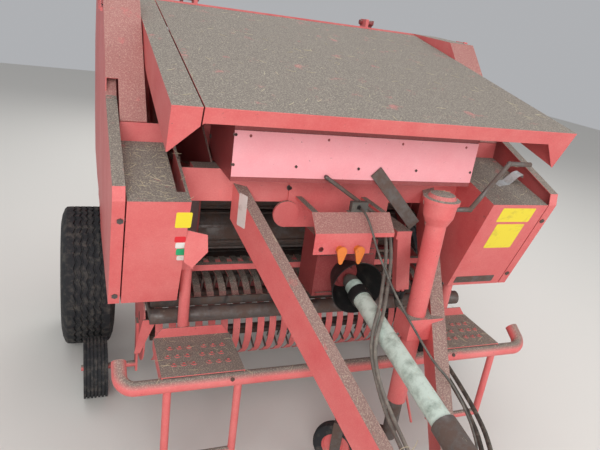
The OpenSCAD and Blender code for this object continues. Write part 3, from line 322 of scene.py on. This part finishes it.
def worn_metal(name, metal, rust, rust_amount, roughness):
    """Bare steel with a skin of rust and dirt."""
    material = bpy.data.materials.new(name)
    material.use_nodes = True
    tree = material.node_tree
    shader = tree.nodes["Principled BSDF"]
    spot = node(tree, "ShaderNodeTexCoord").outputs["Object"]
    clouds = node(tree, "ShaderNodeTexNoise", {"Scale": RUST_CLOUDS_PER_M, "Detail": 9, "Roughness": 0.68},
                  {"Vector": spot})
    spread = 0.4 * rust_amount
    mask = node(tree, "ShaderNodeMapRange", {"From Min": 0.62 - spread, "From Max": 0.8 - spread},
                {"Value": clouds.outputs["Fac"]})
    colour = node(tree, "ShaderNodeMix", {"data_type": "RGBA", 6: to_linear(metal), 7: to_linear(rust)},
                  {0: mask.outputs["Result"]})
    tree.links.new(colour.outputs[2], shader.inputs["Base Color"])
    shine = node(tree, "ShaderNodeMapRange", {"To Min": 0.85, "To Max": 0.05},
                 {"Value": mask.outputs["Result"]})
    tree.links.new(shine.outputs["Result"], shader.inputs["Metallic"])
    rough = node(tree, "ShaderNodeMapRange", {"To Min": roughness, "To Max": 0.9},
                 {"Value": mask.outputs["Result"]})
    tree.links.new(rough.outputs["Result"], shader.inputs["Roughness"])
    relief = node(tree, "ShaderNodeBump", {"Strength": 0.3, "Distance": 0.001},
                  {"Height": clouds.outputs["Fac"]})
    tree.links.new(relief.outputs["Normal"], shader.inputs["Normal"])
    return material


worn_steel = worn_metal("worn_steel", "#6e6966", "#5b4a42", 0.6, 0.45)
pale_steel = worn_metal("pale_steel", "#c4c6c6", "#8d857c", 0.35, 0.5)
hard_chrome = worn_metal("hard_chrome", "#b9babc", "#6b5a4c", 0.05, 0.18)
print("metals: 3")

# %% [markdown]
# Rubber and plastics have no metallic part. What makes them differ is their roughness and the dirt
# that lies on them in patches. The shaft's guard is polyethylene, once yellow-green and now
# bleached to a pale grey-green with dirt rubbed in. The signs' foils and the straw, which is as
# dull, use the same recipe. The fourth value of each is how many patches of dirt fit in a metre.

# %% Rubber and plastics
def dull_polymer(name, clean, dirty, patches_per_m, amount, roughness):
    """Rubber, foil or a moulded plastic with dirt in patches."""
    material = bpy.data.materials.new(name)
    material.use_nodes = True
    tree = material.node_tree
    shader = tree.nodes["Principled BSDF"]
    spot = node(tree, "ShaderNodeTexCoord").outputs["Object"]
    clouds = node(tree, "ShaderNodeTexNoise", {"Scale": patches_per_m, "Detail": 9, "Roughness": 0.7},
                  {"Vector": spot})
    spread = 0.45 * amount
    mask = node(tree, "ShaderNodeMapRange", {"From Min": 0.7 - spread, "From Max": 0.95 - spread},
                {"Value": clouds.outputs["Fac"]})
    colour = node(tree, "ShaderNodeMix", {"data_type": "RGBA", 6: to_linear(clean), 7: to_linear(dirty)},
                  {0: mask.outputs["Result"]})
    tree.links.new(colour.outputs[2], shader.inputs["Base Color"])
    shader.inputs["Roughness"].default_value = roughness
    relief = node(tree, "ShaderNodeBump", {"Strength": 0.2, "Distance": 0.001},
                  {"Height": clouds.outputs["Fac"]})
    tree.links.new(relief.outputs["Normal"], shader.inputs["Normal"])
    return material


hose_rubber = dull_polymer("hose_rubber", "#38352f", "#6f675c", 30, 0.55, 0.75)
grey_rubber = dull_polymer("grey_rubber", "#6a655e", "#8f877b", 30, 0.5, 0.75)
cable_plastic = dull_polymer("cable_plastic", "#4f4c47", "#7c756a", 26, 0.5, 0.6)
tyre_rubber = dull_polymer("tyre_rubber", "#1f2023", "#55504a", 24, 0.5, 0.85)
guard_polyethylene = dull_polymer("guard_polyethylene", "#bccabf", "#7f8c80", 18, 0.55, 0.55)
black_plastic = dull_polymer("black_plastic", "#141414", "#3d3934", 20, 0.4, 0.6)
orange_plastic = dull_polymer("orange_plastic", "#d9782f", "#8f5a34", 30, 0.35, 0.55)
lamp_acrylic = dull_polymer("lamp_acrylic", "#a31315", "#6d2a24", 12, 0.2, 0.2)

yellow_foil = dull_polymer("yellow_foil", "#e3cf2e", "#b39b3a", 16, 0.35, 0.45)
white_foil = dull_polymer("white_foil", "#dcd6d0", "#a89a90", 22, 0.35, 0.45)
green_foil = dull_polymer("green_foil", "#27a06a", "#4d8a68", 22, 0.3, 0.45)
red_foil = dull_polymer("red_foil", "#d2232f", "#a8353a", 22, 0.3, 0.45)

dry_straw = dull_polymer("dry_straw", "#c8bda0", "#968568", 9, 0.5, 0.8)

SLOT_FINISH = {
    # The dark_red_paint slot gets the red enamel with painted shade.
    "red_paint": red_enamel, "light_panel": bleached_enamel, "dark_red_paint": painted_shade_enamel,
    "worn_steel": worn_steel, "rod_chrome": hard_chrome, "guard_plastic": guard_polyethylene,
    "black_plastic": black_plastic, "cap_orange": orange_plastic, "lamp_red": lamp_acrylic,
    "tyre_rubber": tyre_rubber, "cable_plastic": cable_plastic, "hose_rubber": hose_rubber,
}
for part in frame["record"]["subparts"]:
    solid = nodes[part["node"]]
    solid.data.materials.clear()
    solid.data.materials.append(SLOT_FINISH[part["material_slot"]])
CORD_FINISH = {"black": hose_rubber, "grey": grey_rubber, "lamp": cable_plastic}
for name, (tube, _, _) in cords.items():
    tube.data.materials.clear()
    tube.data.materials.append(CORD_FINISH[name.split("_")[0]])

# %% [markdown]
# The rest of the file models what is added, and a few helpers keep that short. One starts a
# primitive in edit mode, one selects corners or faces by their place, one turns a drawn profile
# around an axle, and one places a finished model. A copy gets its own mesh, and its place goes
# into that mesh, so that every piece lies at the origin unturned and keeps its pattern in place.

# %% Modelling helpers
def begin(primitive, **settings):
    """Adds a primitive with nothing else selected and enters edit mode."""
    bpy.ops.object.select_all(action="DESELECT")
    primitive(**settings)
    bpy.ops.object.mode_set(mode="EDIT")
    return bpy.context.object


def pick(kind, test):
    """Selects corners or faces of the mesh in edit mode whose middle passes a test."""
    bpy.ops.mesh.select_mode(type=kind)
    bpy.ops.mesh.select_all(action="DESELECT")
    mesh = bmesh.from_edit_mesh(bpy.context.object.data)
    for item in (mesh.verts if kind == "VERT" else mesh.faces):
        item.select_set(test(item.co if kind == "VERT" else item.calc_center_median()))
    mesh.select_flush_mode()
    bmesh.update_edit_mesh(bpy.context.object.data)


def lathe(profile, steps):
    """Draws a profile of (place along the axle, radius) and turns it around the X axis."""
    piece = begin(bpy.ops.mesh.primitive_plane_add, size=0.002)
    bpy.ops.mesh.select_mode(type="VERT")
    bpy.ops.mesh.select_all(action="SELECT")
    bpy.ops.mesh.merge(type="CENTER")
    x, radius = profile[0]
    bpy.ops.transform.translate(value=(x, 0, radius))
    for x_next, radius_next in profile[1:]:
        move = (x_next - x, 0, radius_next - radius)
        bpy.ops.mesh.extrude_region_move(TRANSFORM_OT_translate={"value": move})
        x, radius = x_next, radius_next
    bpy.ops.mesh.select_all(action="SELECT")
    bpy.ops.mesh.spin(steps=steps, angle=2 * math.pi, center=(0, 0, 0), axis=(1, 0, 0))
    bpy.ops.mesh.select_all(action="SELECT")
    bpy.ops.mesh.remove_doubles(threshold=0.00005)
    bpy.ops.mesh.normals_make_consistent(inside=False)
    return piece


def finish_model(piece, material, angle=35):
    """Leaves edit mode, smooths what bends less than the angle and gives the finish."""
    bpy.ops.object.mode_set(mode="OBJECT")
    bpy.ops.object.shade_smooth_by_angle(angle=math.radians(angle))
    piece.data.materials.clear()
    piece.data.materials.append(material)
    return piece


def copy_of(model, name, matrix):
    """A copy of a model with its own mesh, which is moved into place."""
    twin = bpy.data.objects.new(name, model.data.copy())
    twin.data.transform(matrix)
    if matrix.determinant() < 0:
        twin.data.flip_normals()
    bpy.context.scene.collection.objects.link(twin)
    return twin


def place_copy(model, name, matrix, body):
    """A copy of a model in its place that rides on a body."""
    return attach(copy_of(model, name, matrix), body)


def join_copies(model, name, matrices, body):
    """All the copies of a small model on one body, joined into one piece."""
    bpy.ops.object.select_all(action="DESELECT")
    twins = [copy_of(model, name, matrix) for matrix in matrices]
    for twin in twins:
        twin.select_set(True)
    bpy.context.view_layer.objects.active = twins[0]
    if len(twins) > 1:
        bpy.ops.object.join()
    print(name, "copies:", len(twins))
    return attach(twins[0], body)


def faces_of_solids():
    """All the solids' faces in one search tree, with the node that each belongs to."""
    corners, faces, owner = [], [], []
    for title, solid in nodes.items():
        if solid.hide_render or title in ("hose_couplers", "pickup_strippers", "tine_reel"):
            continue
        first = len(corners)
        corners += [solid.matrix_world @ v.co for v in solid.data.vertices]
        faces += [[first + i for i in face.vertices] for face in solid.data.polygons]
        owner += [title] * len(solid.data.polygons)
    return BVHTree.FromPolygons(corners, faces), owner


bpy.context.view_layer.update()
surface, owners = faces_of_solids()


def seat_on(start, direction, limit=1.0):
    """Where a line from a point meets the solids: the place, the face's direction, the node."""
    hit, normal, index, _ = surface.ray_cast(Vector(start), Vector(direction).normalized(), limit)
    if hit is None:
        return None
    if normal.dot(Vector(direction)) > 0:
        normal = -normal
    return hit, normal, owners[index]


def frame_at(spot, normal, up):
    """Axes at a spot: Z leaves the face, Y runs along it towards up, X completes them."""
    normal = normal.normalized()
    across = Vector(up).cross(normal).normalized()
    along = normal.cross(across)
    return Matrix.Translation(spot) @ Matrix((across, along, normal)).transposed().to_4x4()


body_of = {title: body for title, solid in nodes.items()
           for body, empty in frame["bodies"].items() if solid.parent == empty}
print("faces to seat on:", len(owners))

# %% [markdown]
# The main tyres carry six ribs with grooves that zigzag around the tread. The section is drawn
# with straight grooves and turned in 72 steps. Every second ring of tread corners then moves a
# few millimetres along the axle, which bends all the grooves into zigzags at once. The rim is a
# dish behind the tyre's bead with a raised hub and a dust cap.

# %% Main wheels
TYRE_STEPS = 72
TREAD_HALF = 0.1015
TREAD_R = 0.415
GROOVES = 5
GROOVE_SECTION = ((-0.0065, TREAD_R), (-0.004, TREAD_R - 0.010), (0.004, TREAD_R - 0.010), (0.0065, TREAD_R))
tread = []
for i in range(GROOVES):
    middle = -TREAD_HALF + (i + 1) * 2 * TREAD_HALF / (GROOVES + 1)
    tread += [(middle + x, radius) for x, radius in GROOVE_SECTION]
side = [(-0.100, 0.195), (-0.118, 0.203), (-0.143, 0.255), (-0.145, 0.277), (-0.142, 0.280), (-0.142, 0.288),
        (-0.145, 0.291), (-0.145, 0.325), (-0.138, 0.366), (-0.1247, 0.400), (-0.112, 0.413)]
mirrored = [(-x, radius) for x, radius in reversed(side)]
tyre_model = lathe(side + tread + mirrored + [side[0]], TYRE_STEPS)


def on_ring(odd):
    """A test for tread corners that lie on every second ring."""
    def test(place):
        ring = round(math.atan2(place.z, place.y) / (2 * math.pi) * TYRE_STEPS)
        return abs(place.x) < 0.095 and math.hypot(place.y, place.z) > 0.4 and ring % 2 == odd
    return test


for odd, shift in ((0, 0.006), (1, -0.006)):
    pick("VERT", on_ring(odd))
    bpy.ops.transform.translate(value=(shift, 0, 0))
finish_model(tyre_model, tyre_rubber, 30)

RIM = [(-0.092, 0.0), (-0.092, 0.1945), (0.098, 0.1945), (0.104, 0.205), (0.098, 0.206), (0.090, 0.188),
       (0.040, 0.180), (0.012, 0.165), (-0.016, 0.150), (-0.018, 0.080), (0.022, 0.074), (0.036, 0.062),
       (0.036, 0.040), (0.052, 0.036), (0.058, 0.022), (0.058, 0.0)]
rim_model = lathe(RIM, 64)
finish_model(rim_model, cream_enamel)

AXLE = Vector((1.110, 0.850, TREAD_R))
for side_name, turn in (("right", 1), ("left", -1)):
    spot = Matrix.Translation((turn * AXLE.x, AXLE.y, AXLE.z)) @ Matrix.Scale(turn, 4, (1, 0, 0))
    tyre = place_copy(tyre_model, "tyre_" + side_name, spot, "wheel_" + side_name)
    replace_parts(tyre, "wheel_" + side_name)
    place_copy(rim_model, "rim_" + side_name, spot, "wheel_" + side_name)
print("tyre faces:", len(tyre_model.data.polygons))

# %% [markdown]
# The jockey wheel under the jack is a solid rubber tyre on a small red hub. It stands turned on its
# fork, so the same lathe draws it along X and one turn puts it in place.

# %% Jockey wheel
jockey_tyre = lathe([(-0.026, 0.072), (-0.031, 0.092), (-0.029, 0.108), (-0.022, 0.117), (-0.010, 0.120),
                     (0.010, 0.120), (0.022, 0.117), (0.029, 0.108), (0.031, 0.092), (0.026, 0.072),
                     (-0.026, 0.072)], 48)
finish_model(jockey_tyre, tyre_rubber)
jockey_hub = lathe([(-0.026, 0.0105), (-0.029, 0.014), (-0.029, 0.026), (-0.012, 0.034), (-0.010, 0.062),
                    (-0.026, 0.0725), (0.026, 0.0725), (0.010, 0.062), (0.012, 0.034), (0.029, 0.026),
                    (0.029, 0.014), (0.026, 0.0105), (-0.026, 0.0105)], 48)
finish_model(jockey_hub, red_enamel)
jockey_place = Matrix.Translation((0.020, -0.540, 0.120)) @ Matrix.Rotation(math.radians(50), 4, "Z")
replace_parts(place_copy(jockey_tyre, "jockey_tyre", jockey_place, "jockey"), "jockey_wheel")
place_copy(jockey_hub, "jockey_hub", jockey_place, "jockey")

# %% [markdown]
# Bolts are one small model: a hexagonal head with its top edge chamfered, on a flat washer. The
# table below says roughly where each one sits, from which side it is screwed in and how large it
# is. A line cast from there onto the solids finds the exact seat, so no head floats or sinks.

# %% Bolts
bolt_model = begin(bpy.ops.mesh.primitive_cylinder_add, vertices=6, radius=0.0095, depth=0.007,
                   location=(0, 0, 0.0055))
pick("FACE", lambda place: place.z > 0.0085)
bpy.ops.mesh.inset(thickness=0.0014, depth=0)
bpy.ops.transform.translate(value=(0, 0, 0.0012))
pick("FACE", lambda place: place.z < 0.0025)
bpy.ops.mesh.inset(thickness=-0.0045, depth=0, use_outset=True)
bpy.ops.mesh.select_all(action="DESELECT")
bpy.ops.mesh.primitive_cylinder_add(vertices=16, radius=0.0135, depth=0.002, location=(0, 0, 0.001))
finish_model(bolt_model, worn_steel)

FRONT = (0, 1, 0)
LEFT = (1, 0, 0)
TOP = (0, 0, -1)
BOLTS = [
    ((-1.015, -0.80, 1.262), FRONT, 1.4), ((-1.021, -0.60, 0.873), FRONT, 1.4),
    ((1.018, -0.80, 1.255), FRONT, 1.4), ((1.018, -0.60, 0.900), FRONT, 1.4),
    ((-0.582, -0.60, 1.592), FRONT, 0.7), ((-0.582, -0.60, 1.470), FRONT, 0.7),
    ((-0.312, -0.60, 1.470), FRONT, 0.7), ((-0.020, -0.60, 1.470), FRONT, 0.7),
    ((0.274, -0.60, 1.471), FRONT, 0.7), ((0.574, -0.60, 1.471), FRONT, 0.7),
    ((-0.259, -0.50, 1.321), FRONT, 1.0), ((0.060, -0.60, 1.360), FRONT, 1.0),
    ((-0.80, 0.058, 1.489), LEFT, 1.2), ((-0.80, -0.135, 1.424), LEFT, 1.2),
    ((0.314, -0.70, 0.905), FRONT, 1.1),
    ((0.560, -0.70, 0.600), FRONT, 1.0), ((-0.560, -0.70, 0.600), FRONT, 1.0),
]
by_body = {}
for start, direction, scale in BOLTS:
    found = seat_on(start, direction, 0.6)
    if found is None:
        print("no seat for a bolt at", start)
        continue
    hit, normal, title = found
    up = (0, 0, 1) if abs(normal.z) < 0.9 else (0, 1, 0)
    matrix = frame_at(hit, normal, up) @ Matrix.Scale(scale, 4)
    by_body.setdefault(body_of[title], []).append(matrix)
for body, matrices in by_body.items():
    join_copies(bolt_model, "bolts_" + body, matrices, body)

# %% [markdown]
# Signs are thin plates with rounded corners, and they stay blank. Each one is a flat box whose four
# upright edges are bevelled. Its place is again found by a line cast onto the sheet it sits on.

# %% Blank signs
PLATE = 0.0008


def sign(name, start, direction, width, height, material):
    """A thin blank plate on the surface that a line meets."""
    hit, normal, title = seat_on(start, direction, 0.8)
    piece = begin(bpy.ops.mesh.primitive_cube_add, size=1)
    bpy.ops.transform.resize(value=(width, height, PLATE))
    bpy.ops.transform.translate(value=(0, 0, PLATE / 2))
    bpy.ops.mesh.select_mode(type="EDGE")
    bpy.ops.mesh.select_all(action="DESELECT")
    mesh = bmesh.from_edit_mesh(piece.data)
    for edge in mesh.edges:
        edge.select_set(abs((edge.verts[0].co - edge.verts[1].co).z) > PLATE / 2)
    bmesh.update_edit_mesh(piece.data)
    bpy.ops.mesh.bevel(offset=0.006, segments=3, affect="EDGES")
    finish_model(piece, material)
    place_copy(piece, name, frame_at(hit, normal, (0, 0, 1)), body_of[title])
    bpy.data.objects.remove(piece)
    print(name, "on", title, "at", [round(v, 3) for v in hit])


sign("sign_left_top", (-0.780, -0.80, 1.265), FRONT, 0.062, 0.078, yellow_foil)
STRIP = (
    (1.170, 0.030, red_foil), (1.139, 0.030, white_foil),
    (1.105, 0.036, green_foil), (1.073, 0.026, white_foil),
)
for i, (height, tall, foil) in enumerate(STRIP):
    sign("strip_" + str(i + 1), (-0.783 + 0.006 * i, -0.80, height), FRONT, 0.044, tall, foil)
sign("sign_box_top", (0.832, -0.80, 1.290), FRONT, 0.200, 0.086, yellow_foil)
sign("sign_box_low", (0.835, -0.80, 1.160), FRONT, 0.170, 0.160, yellow_foil)
sign("worn_edge_box", (0.815, -0.80, 0.868), FRONT, 0.250, 0.046, worn_steel)
sign("sign_beam", (-0.62, -0.25, 1.235), LEFT, 0.060, 0.150, white_foil)

# %% [markdown]
# A hose doesn't bend right where it leaves its port: a moulded sleeve that tapers down to the hose
# keeps it straight there. Its other end is crimped into a coupler with a grooved collar, and the
# lamp cable ends in a round plug. The sleeve is drawn with the hose's diameter as its unit, and so
# are the radii of the coupler, while its lengths are the real ones, so one drawing fits all hoses.

# %% Sleeves and couplers
SLEEVE = [(0.0, 0.52), (0.0, 0.98), (0.25, 1.02), (0.4, 0.86), (1.2, 0.74), (2.2, 0.62), (2.3, 0.56),
          (2.3, 0.52), (0.0, 0.52)]
sleeve = lathe(SLEEVE, 24)
finish_model(sleeve, black_plastic)
FITTING = [(-0.012, 0.0), (-0.012, 0.62), (0.0, 0.66), (0.004, 0.74), (0.007, 0.66), (0.010, 0.74),
           (0.013, 0.66), (0.016, 0.74), (0.020, 0.74), (0.022, 0.60), (0.032, 0.60), (0.034, 0.86),
           (0.048, 0.86), (0.050, 0.70), (0.066, 0.68), (0.067, 0.55), (0.062, 0.50), (0.062, 0.0)]
PLUG = [(-0.012, 0.0), (-0.012, 0.60), (0.004, 0.80), (0.020, 1.00), (0.024, 1.18), (0.034, 1.20),
        (0.036, 1.28), (0.044, 1.28), (0.046, 1.10), (0.067, 1.08), (0.067, 0.95), (0.056, 0.92),
        (0.056, 0.0)]
PLUG_UNIT = 0.0105
for name, route, diameter, replaced, stiffness, far_end in CORDS:
    way = (Vector(route[1]) - Vector(route[0])).normalized()
    turn = way.to_track_quat("X", "Z").to_matrix().to_4x4()
    start = Matrix.Translation(route[0]) @ turn @ Matrix.Scale(diameter * 0.98, 4)
    collar = place_copy(sleeve, "sleeve_" + name, start, "chassis")
    drawing = PLUG if far_end == "connector" else FITTING
    grip = PLUG_UNIT if far_end == "connector" else diameter
    end = lathe([(x, radius * grip) for x, radius in drawing], 32)
    finish_model(end, cable_plastic if far_end == "connector" else worn_steel)
    stop = Matrix.Translation(route[-1]) @ Matrix.Rotation(math.radians(-90), 4, "Z")
    coupler = place_copy(end, "end_" + name, stop, "chassis")
    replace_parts(coupler, "hose_couplers")
    bpy.data.objects.remove(end)
    tube, path, length = cords[name]
print("cords with ends:", len(CORDS))

# %% [markdown]
# A pale length of baling twine ties the two grey hoses together where they hang lowest. It is a
# ring squeezed flat around the pair, with a small knot and two loose ends. The ring starts as a
# torus, and the ends are pulled out of the knot face by face.

# %% Twine tie
twine = begin(bpy.ops.mesh.primitive_torus_add, major_radius=0.0195, minor_radius=0.0014, major_segments=28,
              minor_segments=6)
bpy.ops.mesh.select_all(action="SELECT")
bpy.ops.transform.resize(value=(1.0, 0.62, 1.0))
bpy.ops.mesh.select_all(action="DESELECT")
bpy.ops.mesh.primitive_cube_add(size=0.0056, location=(0.0, -0.0140, 0.0))
LOOSE_END = ((0.010, -0.004, 0.002), (0.016, -0.006, -0.004), (0.020, 0.002, -0.012), (0.016, 0.004, -0.016))


def knot_side(pull):
    """A test for the knot's face that looks to the side that its loose end leaves by."""
    def test(place):
        return abs(place.x - pull * 0.0028) < 0.0002 and place.y < -0.010 and abs(place.z) < 0.001
    return test


for pull, droop in ((1, 1.0), (-1, 0.6)):
    pick("FACE", knot_side(pull))
    bpy.ops.transform.resize(value=(1.0, 0.55, 0.55))
    for x, y, z in LOOSE_END:
        bpy.ops.mesh.extrude_region_move(TRANSFORM_OT_translate={"value": (pull * x, y, z * droop)})
finish_model(twine, dry_straw, 60)
TIE_BEND = 13
tied_a = Vector(GREY_A[TIE_BEND])
tied_b = Vector(GREY_B[TIE_BEND])
pair = (tied_a + tied_b) / 2
along_hose = (Vector(GREY_A[TIE_BEND + 1]) - Vector(GREY_A[TIE_BEND - 1])).normalized()
apart = (tied_b - tied_a).normalized()
tie_x = (apart - along_hose * apart.dot(along_hose)).normalized()
tie_y = along_hose.cross(tie_x)
turn = Matrix((tie_x, tie_y, along_hose)).transposed().to_4x4()
place_copy(twine, "twine_tie", Matrix.Translation(pair) @ turn, "chassis")
bpy.data.objects.remove(twine)
print("tie at", [round(v, 3) for v in pair], "hoses apart", round((tied_b - tied_a).length, 3))

# %% [markdown]
# On top of the twine box lies a bent offcut of bare, pale sheet. Its flat leg is a thin box, and
# the other leg is pulled out of its end and up, with a short return at the top.

# %% Bent offcut
offcut = begin(bpy.ops.mesh.primitive_cube_add, size=1)
bpy.ops.transform.resize(value=(0.085, 0.048, 0.0014))
bpy.ops.transform.translate(value=(0, 0, 0.0008))
for reach, move in ((0.042, (0.052, 0, 0.040)), (0.090, (0.034, 0, 0.006)), (0.127, (0.004, 0, -0.018))):
    pick("FACE", lambda place: place.x > reach)
    bpy.ops.mesh.extrude_region_move(TRANSFORM_OT_translate={"value": move})
finish_model(offcut, pale_steel, 20)
hit, normal, title = seat_on((0.850, -0.270, 1.60), TOP)
place_copy(offcut, "offcut", frame_at(hit, normal, (-0.25, 1, 0)), body_of[title])
bpy.data.objects.remove(offcut)
print("offcut on", title)

# %% [markdown]
# Dry straw lies on everything that faces up. One stalk is modelled, a flat bar whose two ends are
# pulled out at slight angles. Then random points are cast straight down over each zone, and a
# stalk is laid where the line meets a face that is nearly level. So the straw follows the real
# surfaces, and it moves with the body it lies on. The seed keeps the pattern the same every time.

# %% Straw
stalk = begin(bpy.ops.mesh.primitive_cube_add, size=1)
bpy.ops.transform.resize(value=(0.016, 0.0017, 0.0010))
bpy.ops.transform.translate(value=(0, 0, 0.0006))
for end in (1, -1):
    pick("FACE", lambda place: place.x * end > 0.0079)
    bpy.ops.mesh.extrude_region_move(TRANSFORM_OT_translate={"value": (end * 0.013, 0.0028 * end, 0.0006)})
    bpy.ops.transform.resize(value=(1.0, 0.7, 0.7))
finish_model(stalk, dry_straw, 60)

ZONES = (
    ("roof", (-0.90, 0.90), (-0.61, 0.87), 2.30, 620),
    ("left guard", (-1.00, -0.76), (-0.46, -0.01), 1.60, 300),
    ("right box", (0.66, 0.98), (-0.46, -0.01), 1.60, 110),
    ("left step", (-0.87, -0.48), (-0.57, -0.25), 0.80, 110),
    ("right step", (0.48, 0.87), (-0.57, -0.25), 0.80, 110),
    ("drawbar and shaft", (-0.55, 0.55), (-1.45, -0.63), 1.60, 260),
    ("below the roof", (-0.60, 0.60), (-0.60, -0.12), 1.40, 260),
    ("pickup", (-0.84, 0.84), (-0.12, 0.14), 0.80, 160),
    ("tailgate", (-1.00, 1.00), (0.98, 1.40), 2.30, 220),
)
random.seed(11)
stalks = {}
for zone, across, along, height, count in ZONES:
    for _ in range(count):
        found = seat_on((random.uniform(*across), random.uniform(*along), height), TOP, 2.0)
        size = random.choice((0.16, 0.2, 0.25, 0.3, 0.4, 0.6, 1.0))
        turn = random.uniform(0, 2 * math.pi)
        if found is None or found[1].z < 0.8:
            continue
        hit, normal, title = found
        matrix = frame_at(hit, normal, (math.cos(turn), math.sin(turn), 0)) @ Matrix.Scale(size, 4)
        stalks.setdefault(body_of[title], []).append(matrix)
for body, matrices in stalks.items():
    join_copies(stalk, "straw_" + body, matrices, body)

for model in (tyre_model, rim_model, jockey_tyre, jockey_hub, bolt_model, sleeve, stalk):
    bpy.data.objects.remove(model)
